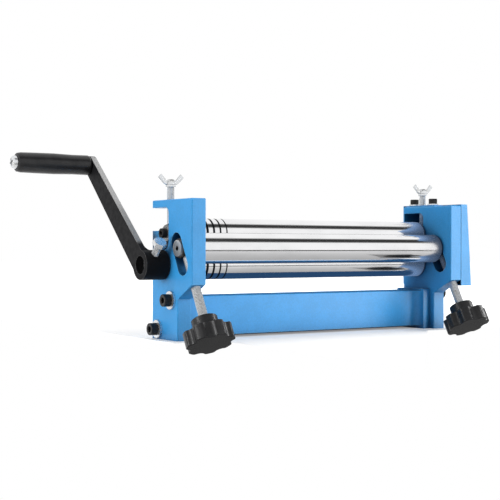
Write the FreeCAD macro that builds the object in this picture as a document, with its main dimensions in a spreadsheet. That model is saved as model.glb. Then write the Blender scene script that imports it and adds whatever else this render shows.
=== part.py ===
import FreeCAD, Part
import Sketcher
import math
import os
import re

from FreeCAD import Placement, Rotation, Vector

# Hand-cranked slip roll for sheet metal, in millimetres.
# +X runs along the rolls away from the crank, +Y to the back, +Z up.
# The origin is the middle of the base on the bench: mid-width, mid-depth of the feet.

DIMENSIONS = {
    # frames
    "width_between": 330.0,  # clear width between the two frames
    "frame_thick": 16.5,
    "leg_depth": 54.0,
    "front_wall": 8.26,  # slot to the frame's front face
    "front_corner_height": 58.2,
    "slant_foot_height": 42.6,
    "hook_room": 17.1,  # upper bearing block to the hook's underside
    "hook_thick": 8.0,
    "hook_fillet": 6.5,
    "lip_rise": 10.5,  # rear lip above the notch's floor
    "edge_round": 1.2,
    # rolls
    "roll_radius": 16.0,
    "rear_roll_y": 2.0,
    "lower_roll_height": 77.5,
    "pinch_gap": 0.8,
    "front_upper_gap": 1.925,  # front roll to the upper roll
    "front_lower_gap": 2.643,  # front roll to the lower roll
    "end_float": 0.6,
    "roll_end_round": 2.0,
    "groove_start": 27.0,  # first wire groove from the left frame
    "groove_pitch": 7.9,
    "wire_first": 1.5,  # wire radii, from the crank's side
    "wire_second": 1.3,
    "wire_third": 1.05,
    "wire_fourth": 0.8,
    "centre_depth": 4.0,
    "lower_centre_radius": 2.0,
    "front_centre_radius": 2.1,
    "gear_shoulder_gap": 0.2,
    # journals, bushes and bearing blocks
    "running_gap": 0.05,
    "sliding_gap": 0.1,
    "seat_gap": 0.1,  # left where a screw's end or a washer meets what it presses on
    "drive_journal_radius": 9.5,
    "drive_bush_radius": 12.5,
    "gear_seat_radius": 8.0,
    "upper_journal_radius": 6.5,
    "upper_block_radius": 9.4,
    "upper_block_foot": 16.4,  # upper roll's axis to the block's lowest point
    "upper_block_length": 11.6,
    "upper_block_rest": 1.0,
    "front_journal_radius": 8.5,
    "front_bush_radius": 10.0,
    "front_bush_length": 14.4,
    "front_journal_proud": 1.2,
    # slanted slot for the front roll
    "slot_angle": 28.5,
    "slot_up": 7.0,
    "slot_down": 20.0,
    "adjuster_hole_run": 34.0,  # slot's lower end to the hole's end under the slant
    # fasteners
    "cap_screw_radius": 4.0,
    "cap_head_radius": 6.4,
    "cap_head_length": 8.0,
    "bolt_clearance": 0.4,
    "small_screw_radius": 3.0,
    "small_head_radius": 5.0,
    "small_head_length": 6.0,
    "small_clearance": 0.3,
    "end_clearance": 0.2,
    "end_screw_bite": 14.0,
    "thread_runout": 0.5,
    "base_washer_radius": 9.5,
    "base_washer_thick": 2.0,
    "small_washer_radius": 8.6,
    "small_washer_thick": 1.8,
    "cover_washer_radius": 6.6,
    "cover_washer_thick": 1.6,
    # clamping wing screws and adjusting screws
    "wing_screw_radius": 3.95,
    "wing_screw_reach": 13.2,  # underside of the collar above the frame's top
    "wing_collar_radius": 5.3,
    "wing_collar_height": 2.8,
    "wing_hub_radius": 4.5,
    "wing_hub_height": 5.5,
    "wing_hole_clearance": 1.5,
    "wing_span": 32.0,
    "wing_thick": 2.6,
    "wing_foot": 2.0,
    "wing_bend_in": 7.2,  # wing's lower bend, inwards from the tip
    "wing_bend_rise": 0.8,
    "wing_tip_rise": 8.9,
    "wing_top_in": 4.6,
    "wing_top_rise": 11.7,
    "wing_root_in": 1.0,
    "wing_root_rise": 4.4,
    "wing_middle_rise": 4.2,
    "wing_round": 2.0,
    "adjust_radius": 4.9,
    "adjust_reach": 74.0,  # front roll axis to the knob's boss, along the screw
    "adjust_left_extra": 5.2,
    "rod_chamfer": 0.8,
    "knob_radius": 25.0,
    "knob_boss_radius": 13.4,
    "knob_boss_height": 12.0,
    "knob_star_height": 16.2,
    "knob_lobes": 7.0,
    "knob_flute_radius": 7.0,
    "knob_flute_depth": 3.8,
    "left_knob_turn": 39.4,
    "right_knob_turn": 49.0,
    "knob_lobe_round": 3.4,
    "knob_rim_round": 0.7,
    "boss_rim_round": 1.0,
    "knob_thread_depth": 18.0,
    "thread_end_gap": 0.2,
    # base beam
    "beam_front_y": -9.5,
    "beam_height": 45.0,
    "beam_lift": 3.6,
    "beam_wall": 8.0,
    "flange_thick": 10.0,
    "flange_front_y": -20.3,
    "flange_height": 47.0,
    "beam_fillet": 9.5,
    "upper_bolt_y": -13.3,
    "upper_bolt_height": 41.4,
    "lower_bolt_y": 15.1,
    "lower_bolt_height": 10.4,
    "bolt_bite": 8.5,
    # gears and their cover
    "gear_teeth": 16.0,
    "gear_width": 6.7,
    "gear_stand_off": 0.8,
    "tooth_backlash": 0.15,
    "pressure_angle": 20.0,
    "key_width": 4.0,
    "key_side_gap": 0.05,
    "key_top_gap": 0.1,
    "cover_wall": 1.6,
    "cover_leaf_start": 1.0,  # the rear leaf starts this far outside the frame's inner face
    "cover_bottom_height": 51.4,
    "cover_top_depth": 9.8,
    "cover_bottom_depth": 16.5,
    "cover_tab_reach": 14.5,
    "cover_tab_front_y": -26.0,
    "cover_tab_rear_y": 25.0,
    "cover_screw_front_y": -16.3,
    "cover_screw_rear_y": 16.5,
    "cover_screw_bite": 6.5,
    # crank
    "hub_radius": 15.4,
    "hub_length": 26.6,
    "hub_stand_off": 1.0,
    "hub_recess": 9.0,
    "arm_thick": 6.0,
    "arm_length": 164.5,
    "arm_angle": 41.6,
    "arm_half_width_hub": 13.4,
    "arm_half_width_end": 10.2,
    "arm_fillet": 5.0,
    "set_bolt_radius": 4.0,
    "set_bolt_flats": 13.0,
    "set_bolt_head": 5.4,
    "set_bolt_crown": 1.4,  # corners cut off the head's top
    "set_bolt_slope": 4.0,  # radius that the cutting cone loses over the head
    "set_bolt_reach": 26.8,  # roll axis to the underside of the head
    "set_bolt_seat": 14.3,  # hub's inner face to the bolt's axis
    "grip_length": 84.8,
    "grip_radius": 11.4,
    "grip_gap": 0.4,
    "handle_screw_radius": 4.0,
    "handle_head_radius": 7.2,
    "handle_head_length": 5.0,
    "handle_seat_gap": 0.3,
    "recess_width": 1.6,
    "recess_span": 8.4,
    "recess_depth": 2.6,
    "recess_turn": 20.0,
    # modelling allowances
    "merge": 1.0,  # how far one lump of a piece runs into the next
    "cut_margin": 2.0,  # how far a cut runs past what it cuts
}

# grip's outline from the arm: share of its length, and mm below its thickest radius
GRIP_SWELL = (
    (0.0, 1.6),
    (0.02594, 0.4),
    (0.23585, 0.6),
    (0.49528, 0.0),
    (0.75472, 0.2),
    (0.9434, 0.5),
    (0.99057, 1.3),
    (1.0, 2.4),
)
# proportions of a socket head, and of a tooth in modules
RIM_ROUND = 0.1
SOCKET_FLATS = 0.95
SOCKET_DEPTH = 0.55
TOOTH_ROOT = 1.25

# places worked out from the driving dimensions
PLACES = {
    "half_width": "width_between / 2",
    "outer_face": "half_width + frame_thick",
    "mid_frame": "half_width + frame_thick / 2",
    "rear_y": "leg_depth / 2",
    "leg_front_y": "-leg_depth / 2",
    "rear_roll_pitch": "2 * roll_radius + pinch_gap",
    "upper_roll_height": "lower_roll_height + rear_roll_pitch",
    "hook_under": "upper_roll_height + upper_block_radius + hook_room",
    "frame_height": "hook_under + hook_thick",
    "upper_block_drop": "upper_block_foot - upper_block_radius",
    "notch_half": "upper_block_radius + sliding_gap",
    "notch_floor": "upper_roll_height - upper_block_drop - upper_block_rest",
    "lip_height": "notch_floor + lip_rise",
    "front_to_upper": "2 * roll_radius + front_upper_gap",
    "front_to_lower": "2 * roll_radius + front_lower_gap",
    "front_roll_rise": "(front_to_lower^2 - front_to_upper^2 + rear_roll_pitch^2) / (2 * rear_roll_pitch)",
    "front_roll_height": "lower_roll_height + front_roll_rise",
    "front_roll_y": "rear_roll_y - sqrt(front_to_lower^2 - front_roll_rise^2)",
    "slot_radius": "front_bush_radius + sliding_gap",
    "slot_sine": "sin(slot_angle)",
    "slot_cosine": "cos(slot_angle)",
    "adjuster_hole_end": "slot_down + slot_radius + adjuster_hole_run",
    "frame_front_y": "front_roll_y - slot_down * slot_sine - slot_radius - front_wall",
    "roll_half": "half_width - end_float",
    "bolt_hole_radius": "cap_screw_radius + bolt_clearance",
    "block_start": "half_width + end_float",
    "washer_face": "block_start + upper_block_length + seat_gap",
    "drive_end": "outer_face + hub_stand_off + hub_length - hub_recess",
    "gear_start": "outer_face + gear_stand_off",
    "gear_shoulder": "gear_start - gear_shoulder_gap",
    "gear_end": "gear_start + gear_width",
    "hub_start": "outer_face + hub_stand_off",
    "hub_end": "hub_start + hub_length",
    "arm_start": "hub_end - arm_thick",
    "grip_y": "rear_roll_y + arm_length * cos(arm_angle)",
    "grip_height": "lower_roll_height + arm_length * sin(arm_angle)",
    "grip_start": "hub_end + grip_gap",
    "grip_end": "grip_start + grip_length",
    "cover_top_height": "frame_height + cover_wall",
    "gear_module": "2 * roll_radius / gear_teeth",
    "set_bolt_x": "hub_start + set_bolt_seat",
}

X_TURN = Rotation(Vector(0, 1, 0), 90)  # local Z laid along +X
SIDES = {"left": -1, "right": 1}

doc = FreeCAD.newDocument("slip_roll")
sheet = doc.addObject("Spreadsheet::Sheet", "dims")
places = doc.addObject("Spreadsheet::Sheet", "places")
nodes = []


def fill_sheets():
    for row, (alias, value) in enumerate(DIMENSIONS.items(), 1):
        sheet.set(f"A{row}", alias)
        sheet.set(f"B{row}", str(value))
        sheet.setAlias(f"B{row}", alias)
    for row, (alias, formula) in enumerate(PLACES.items(), 1):
        places.set(f"A{row}", alias)
        places.set(f"B{row}", "=" + linked(formula, own="places"))
        places.setAlias(f"B{row}", alias)
        doc.recompute()


def linked(formula, own=None):
    """Put each alias of a formula on its sheet, so that an expression can read it."""

    def word(match):
        name = match.group(0)
        if name in DIMENSIONS:
            return "<<dims>>." + name
        if name in PLACES:
            return name if own == "places" else "<<places>>." + name
        return name

    return re.sub(r"[a-z][a-z_]+", word, str(formula))


def bind(target, prop, formula):
    target.setExpression(prop, linked(formula))


def size(alias):
    """Read one sheet value as a number."""
    return float(sheet.get(alias) if alias in DIMENSIONS else places.get(alias))


def place(target, x="0", y="0", z="0", turn=None, angle=None):
    """Bind a placement's base, and its turn's angle where one is given."""
    target.Placement = Placement(Vector(0, 0, 0), turn or Rotation())
    for axis, formula in (("x", x), ("y", y), ("z", z)):
        bind(target, "Placement.Base." + axis, formula)
    if angle:
        bind(target, "Placement.Rotation.Angle", angle)


def new_body(label):
    body = doc.addObject("PartDesign::Body", label)
    body.Label = label
    nodes.append(body)
    return body


def primitive(body, kind, name, sizes, **where):
    """Add or take away a box, cylinder, cone or torus in a body."""
    feature = body.newObject("PartDesign::" + kind, name)
    for prop, formula in sizes.items():
        bind(feature, prop, formula)
    place(feature, **where)
    doc.recompute()
    return feature


def drill(body, name, radius, length, **where):
    """Take away a cylinder and make sure that it cut something."""
    before = body.Shape.Volume
    primitive(body, "SubtractiveCylinder", name, {"Radius": radius, "Height": length}, **where)
    if body.Shape.Volume > before - 0.1:
        raise ValueError(name + " cuts nothing")


def origin_plane(body, role):
    return next(f for f in body.Origin.OriginFeatures if f.Role == role)


def polygon(body, name, role, corners):
    """A closed sketch of straight lines, each corner held by two bound distances."""
    sketch = body.newObject("Sketcher::SketchObject", name)
    sketch.AttachmentSupport = [(origin_plane(body, role), "")]
    sketch.MapMode = "FlatFace"
    probe = doc.addObject("App::FeaturePython", "probe")
    probe.addProperty("App::PropertyFloat", "Across")
    probe.addProperty("App::PropertyFloat", "Up")
    points = []
    for across, up in corners:
        bind(probe, "Across", across)
        bind(probe, "Up", up)
        doc.recompute([probe])
        points.append(Vector(probe.Across, probe.Up, 0))
    doc.removeObject(probe.Name)
    count = len(points)
    for i, point in enumerate(points):
        sketch.addGeometry(Part.LineSegment(point, points[(i + 1) % count]), False)
    for i in range(count):
        sketch.addConstraint(Sketcher.Constraint("Coincident", i, 2, (i + 1) % count, 1))
    for i, (across, up) in enumerate(corners):
        for kind, formula, value in (
            ("DistanceX", across, points[i].x),
            ("DistanceY", up, points[i].y),
        ):
            number = sketch.addConstraint(Sketcher.Constraint(kind, i, 1, value))
            sketch.setExpression(f"Constraints[{number}]", linked(formula))
    return sketch


def pad(body, sketch, name, length, reverse=False):
    feature = body.newObject("PartDesign::Pad", name)
    feature.Profile = sketch
    bind(feature, "Length", length)
    feature.Reversed = reverse
    doc.recompute()
    return feature


def revolve(body, sketch, name):
    feature = body.newObject("PartDesign::Revolution", name)
    feature.Profile = sketch
    feature.ReferenceAxis = (sketch, ["H_Axis"])
    feature.Angle = 360
    doc.recompute()
    return feature


def soften(body, name, radius, wanted, kind="Fillet"):
    """Round or bevel the edges of the body's last feature that a test picks."""
    base = body.Tip
    edges = [
        f"Edge{i}" for i, edge in enumerate(base.Shape.Edges, 1) if wanted(edge)
    ]
    if not edges:
        raise ValueError(name + " finds no edge")
    feature = body.newObject("PartDesign::" + kind, name)
    feature.Base = (base, edges)
    bind(feature, "Radius" if kind == "Fillet" else "Size", radius)
    doc.recompute()
    return feature


def near(value, target, slack=0.01):
    return abs(value - target) < slack


def box_of(edge):
    b = edge.BoundBox
    return b.XMin, b.XMax, b.YMin, b.YMax, b.ZMin, b.ZMax


def shape_node(label, shapes):
    """A node of one or more plain solids whose sizes were read from the sheets."""
    feature = doc.addObject("Part::Feature", label)
    feature.Label = label
    feature.Shape = shapes[0] if len(shapes) == 1 else Part.makeCompound(shapes)
    nodes.append(feature)
    return feature


# ---------------------------------------------------------------- frames


def frame_outline():
    """Side plate seen from the side: leg, slant, roll housing, hook and rear lip."""
    return [
        ("leg_front_y", "0"),
        ("rear_y", "0"),
        ("rear_y", "lip_height"),
        ("rear_roll_y + notch_half", "lip_height"),
        ("rear_roll_y + notch_half", "notch_floor"),
        ("rear_roll_y - notch_half", "notch_floor"),
        ("rear_roll_y - notch_half", "hook_under"),
        ("rear_y", "hook_under"),
        ("rear_y", "frame_height"),
        ("frame_front_y", "frame_height"),
        ("frame_front_y", "front_corner_height"),
        ("leg_front_y", "slant_foot_height"),
    ]


def drill_slot(body):
    """Slanted slot of the front roll, and the tapped hole that meets its lower end."""
    for end, reach in (("top", "slot_up"), ("bottom", "-slot_down")):
        drill(
            body,
            "slot_" + end,
            "slot_radius",
            "frame_thick",
            y=f"front_roll_y + slot_sine * ({reach})",
            z=f"front_roll_height + slot_cosine * ({reach})",
            turn=X_TURN,
        )
    primitive(
        body,
        "SubtractiveBox",
        "slot_middle",
        {"Length": "frame_thick", "Width": "2 * slot_radius", "Height": "slot_up + slot_down"},
        y="front_roll_y - slot_sine * slot_down - slot_cosine * slot_radius",
        z="front_roll_height - slot_cosine * slot_down + slot_sine * slot_radius",
        turn=Rotation(Vector(1, 0, 0), -size("slot_angle")),
    )
    drill(
        body,
        "adjuster_hole",
        "adjust_radius + running_gap",
        "slot_radius + adjuster_hole_run",
        x="frame_thick / 2",
        y="front_roll_y - slot_sine * adjuster_hole_end",
        z="front_roll_height - slot_cosine * adjuster_hole_end",
        turn=Rotation(Vector(1, 0, 0), -size("slot_angle")),
    )


def make_frame(side):
    body = new_body(side + "_frame")
    sketch = polygon(body, side + "_outline", "YZ_Plane", frame_outline())
    pad(body, sketch, side + "_plate", "frame_thick")
    drill(
        body,
        "notch_round",
        "notch_half",
        "frame_thick",
        y="rear_roll_y",
        z="notch_floor",
        turn=X_TURN,
    )
    front, rear, top = size("frame_front_y"), size("rear_y"), size("frame_height")
    notch = size("rear_roll_y") - size("notch_half")
    soften(
        body,
        "hook_corner",
        "hook_fillet",
        lambda e: near(e.BoundBox.YMax, notch)
        and near(e.BoundBox.YMin, notch)
        and near(e.BoundBox.ZMin, size("hook_under"))
        and near(e.BoundBox.ZMax, size("hook_under")),
    )
    drill_slot(body)

    def outer_edge(edge):
        x0, x1, y0, y1, z0, z1 = box_of(edge)
        on_side = near(x0, x1) and (near(x0, 0) or near(x0, size("frame_thick")))
        rim = near(y0, y1) and (near(y0, front) or near(y0, rear) or near(y0, size("leg_front_y")))
        flat = near(z0, z1) and near(z0, top)
        slant = near(y0, front) and near(y1, size("leg_front_y")) and z0 > size("cut_margin")
        under = near(z0, z1) and near(z0, size("hook_under"))
        ends = flat and near(y0, y1) and (near(y0, front) or near(y0, rear))
        return ends or on_side and (rim or flat or slant or under)

    soften(body, "outer_edges", "edge_round", outer_edge)
    drill(
        body,
        "drive_bore",
        "drive_bush_radius",
        "frame_thick",
        y="rear_roll_y",
        z="lower_roll_height",
        turn=X_TURN,
    )
    drill(
        body,
        "wing_screw_hole",
        "wing_screw_radius + running_gap",
        "hook_thick + 2 * cut_margin",
        x="frame_thick / 2",
        y="rear_roll_y",
        z="hook_under - cut_margin",
    )
    for which in ("upper", "lower"):
        drill(
            body,
            which + "_bolt_hole",
            "bolt_hole_radius",
            "frame_thick",
            y=which + "_bolt_y",
            z=which + "_bolt_height",
            turn=X_TURN,
        )
    if side == "right":
        for which in ("front", "rear"):
            drill(
                body,
                which + "_cover_hole",
                "small_screw_radius + running_gap",
                "cover_screw_bite + thread_runout",
                x="frame_thick / 2",
                y=f"cover_screw_{which}_y",
                z="frame_height - cover_screw_bite - thread_runout",
            )
    place(body, x="half_width" if side == "right" else "-outer_face")


# ---------------------------------------------------------------- base


def make_base_beam():
    """Cast cross beam: a channel open underneath, with a foot flange at each end."""
    body = new_body("base_beam")
    primitive(
        body,
        "AdditiveBox",
        "beam_block",
        {
            "Length": "width_between",
            "Width": "rear_y - beam_front_y",
            "Height": "beam_height - beam_lift",
        },
        x="-half_width",
        y="beam_front_y",
        z="beam_lift",
    )
    primitive(
        body,
        "AdditiveBox",
        "rear_skirt",
        {"Length": "width_between", "Width": "beam_wall", "Height": "beam_height"},
        x="-half_width",
        y="rear_y - beam_wall",
    )
    for side, start in (("left", "-half_width"), ("right", "half_width - flange_thick")):
        primitive(
            body,
            "AdditiveBox",
            side + "_flange",
            {
                "Length": "flange_thick",
                "Width": "rear_y - flange_front_y",
                "Height": "flange_height",
            },
            x=start,
            y="flange_front_y",
        )
    primitive(
        body,
        "SubtractiveBox",
        "hollow",
        {
            "Length": "width_between - 2 * flange_thick",
            "Width": "rear_y - beam_front_y - 2 * beam_wall",
            "Height": "beam_height - beam_wall",
        },
        x="flange_thick - half_width",
        y="beam_front_y + beam_wall",
    )
    inner = size("half_width") - size("flange_thick")
    face = size("beam_front_y")

    def root(edge):
        x0, x1, y0, y1, z0, z1 = box_of(edge)
        tall = z1 - z0 > size("beam_height") / 2
        return near(abs(x0), inner) and near(x0, x1) and near(y0, face) and near(y1, face) and tall

    soften(body, "flange_roots", "beam_fillet", root)

    def rim(edge):
        x0, x1, y0, y1, z0, z1 = box_of(edge)
        long_top = near(z0, size("beam_height")) and near(z1, z0) and x1 - x0 > inner
        flange_top = near(z0, size("flange_height")) and near(z1, z0) and near(y0, size("flange_front_y"))
        flange_top = flange_top and near(y1, y0)
        return long_top or flange_top

    soften(body, "beam_edges", "edge_round", rim)
    for side, sign in SIDES.items():
        for which in ("upper", "lower"):
            drill(
                body,
                f"{side}_{which}_thread",
                "cap_screw_radius + running_gap",
                "bolt_bite + thread_runout",
                x="-half_width" if sign < 0 else "half_width - bolt_bite - thread_runout",
                y=which + "_bolt_y",
                z=which + "_bolt_height",
                turn=X_TURN,
            )


# ---------------------------------------------------------------- fasteners


def washer(radius, hole, thick):
    return Part.makeCylinder(radius, thick).cut(Part.makeCylinder(hole, thick))


def hexagon(flats, height):
    """A six-sided prism standing on the XY plane."""
    radius = flats / math.sqrt(3)
    points = [
        Vector(radius * math.cos(math.radians(60 * i)), radius * math.sin(math.radians(60 * i)), 0)
        for i in range(7)
    ]
    return Part.Face(Part.makePolygon(points)).extrude(Vector(0, 0, height))


def cap_screw(head_radius, head_length, shank_radius, shank_length):
    """Socket head screw along Z: the head above the XY plane, the shank below it."""
    head = Part.makeCylinder(head_radius, head_length)
    rim = [e for e in head.Edges if near(e.BoundBox.ZMin, head_length)]
    head = head.makeFillet(RIM_ROUND * head_radius, rim)
    socket = hexagon(SOCKET_FLATS * head_radius, SOCKET_DEPTH * head_length)
    socket.translate(Vector(0, 0, (1 - SOCKET_DEPTH) * head_length))
    shank = Part.makeCylinder(shank_radius, shank_length, Vector(0, 0, -shank_length))
    return head.cut(socket).fuse(shank).removeSplitter()


def along_x(shape, sign, x, y, z):
    """Turn a piece made along Z to face outwards along X, and set it in place."""
    turned = shape.copy()
    turned.Placement = Placement(Vector(sign * x, y, z), Rotation(Vector(0, 1, 0), 90 * sign))
    return turned


def make_base_fasteners():
    bolt = cap_screw(
        size("cap_head_radius"),
        size("cap_head_length"),
        size("cap_screw_radius"),
        size("frame_thick") + size("base_washer_thick") + size("bolt_bite"),
    )
    ring = washer(
        size("base_washer_radius"), size("bolt_hole_radius"), size("base_washer_thick")
    )
    spots = [
        (sign, size(which + "_bolt_y"), size(which + "_bolt_height"))
        for sign in SIDES.values()
        for which in ("upper", "lower")
    ]
    head_seat = size("outer_face") + size("base_washer_thick")
    shape_node("base_bolts", [along_x(bolt, s, head_seat, y, z) for s, y, z in spots])
    shape_node("base_washers", [along_x(ring, s, size("outer_face"), y, z) for s, y, z in spots])


def make_cover_fasteners():
    screw = cap_screw(
        size("small_head_radius"),
        size("small_head_length"),
        size("small_screw_radius"),
        size("cover_washer_thick") + size("cover_wall") + size("cover_screw_bite"),
    )
    ring = washer(
        size("cover_washer_radius"),
        size("small_screw_radius") + size("small_clearance"),
        size("cover_washer_thick"),
    )
    screws, rings = [], []
    for which in ("front", "rear"):
        spot = Vector(size("mid_frame"), size(f"cover_screw_{which}_y"), size("cover_top_height"))
        rings.append(ring.translated(spot))
        screws.append(screw.translated(spot + Vector(0, 0, size("cover_washer_thick"))))
    shape_node("cover_screws", screws)
    shape_node("cover_washers", rings)


# ---------------------------------------------------------------- rolls


def roll_body(label, profile, y, z):
    body = new_body(label)
    sketch = polygon(body, label + "_profile", "XZ_Plane", profile)
    revolve(body, sketch, label + "_turned")
    limit = size("roll_half")
    soften(
        body,
        label + "_ends",
        "roll_end_round",
        lambda e: near(abs(e.BoundBox.XMin), limit)
        and near(e.BoundBox.XLength, 0)
        and near(e.BoundBox.ZLength, 2 * size("roll_radius"), 0.1),
    )
    place(body, y=y, z=z)
    return body


def cut_wire_grooves(body):
    """Four half-round grooves for wires of falling thickness, near the crank end."""
    for number, wire in enumerate(("first", "second", "third", "fourth")):
        primitive(
            body,
            "SubtractiveTorus",
            wire + "_wire_groove",
            {"Radius1": "roll_radius", "Radius2": "wire_" + wire},
            x=f"groove_start + {number} * groove_pitch - half_width",
            turn=X_TURN,
        )


def centre_drill(body, name, x, radius):
    drill(body, name, radius, "centre_depth", x=x, turn=X_TURN)


def make_lower_roll():
    profile = [
        ("-drive_end", "0"),
        ("-drive_end", "drive_journal_radius"),
        ("-roll_half", "drive_journal_radius"),
        ("-roll_half", "roll_radius"),
        ("roll_half", "roll_radius"),
        ("roll_half", "drive_journal_radius"),
        ("gear_shoulder", "drive_journal_radius"),
        ("gear_shoulder", "gear_seat_radius"),
        ("gear_end", "gear_seat_radius"),
        ("gear_end", "0"),
    ]
    body = roll_body("lower_roll", profile, "rear_roll_y", "lower_roll_height")
    cut_wire_grooves(body)
    centre_drill(body, "lower_centre", "-drive_end", "lower_centre_radius")
    cut_keyseat(body, "gear_seat_radius")


def make_upper_roll():
    profile = [
        ("-washer_face", "0"),
        ("-washer_face", "upper_journal_radius"),
        ("-roll_half", "upper_journal_radius"),
        ("-roll_half", "roll_radius"),
        ("roll_half", "roll_radius"),
        ("roll_half", "upper_journal_radius"),
        ("gear_end", "upper_journal_radius"),
        ("gear_end", "0"),
    ]
    body = roll_body("upper_roll", profile, "rear_roll_y", "upper_roll_height")
    cut_wire_grooves(body)
    drill(
        body,
        "end_screw_thread",
        "small_screw_radius + running_gap",
        "end_screw_bite + thread_runout",
        x="-washer_face",
        turn=X_TURN,
    )
    cut_keyseat(body, "upper_journal_radius")


def make_front_roll():
    end = "outer_face + front_journal_proud"
    profile = [
        (f"-({end})", "0"),
        (f"-({end})", "front_journal_radius"),
        ("-roll_half", "front_journal_radius"),
        ("-roll_half", "roll_radius"),
        ("roll_half", "roll_radius"),
        ("roll_half", "front_journal_radius"),
        (end, "front_journal_radius"),
        (end, "0"),
    ]
    body = roll_body("front_roll", profile, "front_roll_y", "front_roll_height")
    centre_drill(body, "front_centre_left", f"-({end})", "front_centre_radius")
    centre_drill(body, "front_centre_right", f"{end} - centre_depth", "front_centre_radius")


def cut_keyseat(body, seat):
    """Flat-bottomed keyseat on top of the gear seat, half the key deep."""
    primitive(
        body,
        "SubtractiveBox",
        body.Label + "_keyseat",
        {"Length": "gear_width", "Width": "key_width", "Height": "key_width"},
        x="gear_start",
        y="-key_width / 2",
        z=f"{seat} - key_width / 2",
    )


# ---------------------------------------------------------------- bearings


def make_drive_bush(side):
    body = new_body(side + "_lower_bush")
    primitive(
        body,
        "AdditiveCylinder",
        side + "_bush_barrel",
        {"Radius": "drive_bush_radius", "Height": "frame_thick"},
        turn=X_TURN,
    )
    drill(
        body,
        side + "_bush_bore",
        "drive_journal_radius + running_gap",
        "frame_thick",
        turn=X_TURN,
    )
    place(
        body,
        x="half_width" if side == "right" else "-outer_face",
        y="rear_roll_y",
        z="lower_roll_height",
    )


def make_upper_block(side):
    """Black sliding block with round ends that carries the upper roll's journal."""
    body = new_body(side + "_upper_bearing")
    for end, drop in (("top", "0"), ("bottom", "-upper_block_drop")):
        primitive(
            body,
            "AdditiveCylinder",
            f"{side}_block_{end}",
            {"Radius": "upper_block_radius", "Height": "upper_block_length"},
            z=drop,
            turn=X_TURN,
        )
    primitive(
        body,
        "AdditiveBox",
        side + "_block_middle",
        {
            "Length": "upper_block_length",
            "Width": "2 * upper_block_radius",
            "Height": "upper_block_drop",
        },
        y="-upper_block_radius",
        z="-upper_block_drop",
    )
    drill(
        body,
        side + "_block_bore",
        "upper_journal_radius + running_gap",
        "upper_block_length",
        turn=X_TURN,
    )
    place(
        body,
        x="block_start" if side == "right" else "-block_start - upper_block_length",
        y="rear_roll_y",
        z="upper_roll_height",
    )


def make_front_bush(side):
    body = new_body(side + "_front_bush")
    primitive(
        body,
        "AdditiveCylinder",
        side + "_front_barrel",
        {"Radius": "front_bush_radius", "Height": "front_bush_length"},
        turn=X_TURN,
    )
    drill(
        body,
        side + "_front_bore",
        "front_journal_radius + running_gap",
        "front_bush_length",
        turn=X_TURN,
    )
    place(
        body,
        x="block_start" if side == "right" else "-block_start - front_bush_length",
        y="front_roll_y",
        z="front_roll_height",
    )


def make_upper_end_fastener():
    ring = washer(
        size("small_washer_radius"),
        size("small_screw_radius") + size("end_clearance"),
        size("small_washer_thick"),
    )
    screw = cap_screw(
        size("small_head_radius"),
        size("small_head_length"),
        size("small_screw_radius"),
        size("small_washer_thick") + size("end_screw_bite"),
    )
    y, z = size("rear_roll_y"), size("upper_roll_height")
    shape_node("upper_roll_washer", [along_x(ring, -1, size("washer_face"), y, z)])
    seat = size("washer_face") + size("small_washer_thick")
    shape_node("upper_roll_screw", [along_x(screw, -1, seat, y, z)])


# ---------------------------------------------------------------- gears


def involute_flank(base, start, tip, steps=6):
    """Radius and swept angle along an involute from the start radius to the tip."""
    flank = []
    for i in range(steps + 1):
        radius = start + (tip - start) * i / steps
        roll = math.sqrt(max(radius**2 / base**2 - 1, 0))
        flank.append((radius, roll - math.atan(roll)))
    return flank


def gear_blank(bore, first_tooth_deg):
    """Spur gear round X: teeth from the involute of the pressure angle."""
    module, teeth = size("gear_module"), int(size("gear_teeth"))
    pitch = module * teeth / 2
    base = pitch * math.cos(math.radians(size("pressure_angle")))
    root, tip = pitch - TOOTH_ROOT * module, pitch + module
    roll = math.sqrt(pitch**2 / base**2 - 1)
    at_pitch = roll - math.atan(roll)
    half = math.pi / (2 * teeth) - size("tooth_backlash") / (2 * pitch) + at_pitch
    flank = [(root, 0.0)] + involute_flank(base, base, tip)
    points = []
    for tooth in range(teeth):
        middle = math.radians(first_tooth_deg) + 2 * math.pi * tooth / teeth
        rising = [(r, middle - half + a) for r, a in flank]
        falling = [(r, middle + half - a) for r, a in reversed(flank)]
        points += [Vector(0, r * math.cos(a), r * math.sin(a)) for r, a in rising + falling]
    wheel = Part.Face(Part.makePolygon(points + points[:1])).extrude(
        Vector(size("gear_width"), 0, 0)
    )
    hole = Part.makeCylinder(
        bore + size("running_gap"), size("gear_width"), Vector(0, 0, 0), Vector(1, 0, 0)
    )
    keyway = Part.makeBox(
        size("gear_width"),
        size("key_width") + 2 * size("key_side_gap"),
        bore + size("key_width") / 2 + size("key_top_gap"),
        Vector(0, -size("key_width") / 2 - size("key_side_gap"), 0),
    )
    return wheel.cut(hole).cut(keyway)


def make_gears():
    """A one to one pair, in mesh at rest: a tooth of the lower between two of the upper."""
    half_pitch = 180 / size("gear_teeth")
    key = size("key_width")
    for name, seat, height, turn in (
        ("lower", "gear_seat_radius", "lower_roll_height", 90),
        ("upper", "upper_journal_radius", "upper_roll_height", 90 + half_pitch),
    ):
        spot = Vector(size("gear_start"), size("rear_roll_y"), size(height))
        wheel = gear_blank(size(seat), turn)
        wheel.translate(spot)
        shape_node(name + "_gear", [wheel])
        bar = Part.makeBox(size("gear_width"), key, key)
        bar.translate(spot + Vector(0, -key / 2, size(seat) - key / 2))
        shape_node(name + "_gear_key", [bar])


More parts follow.
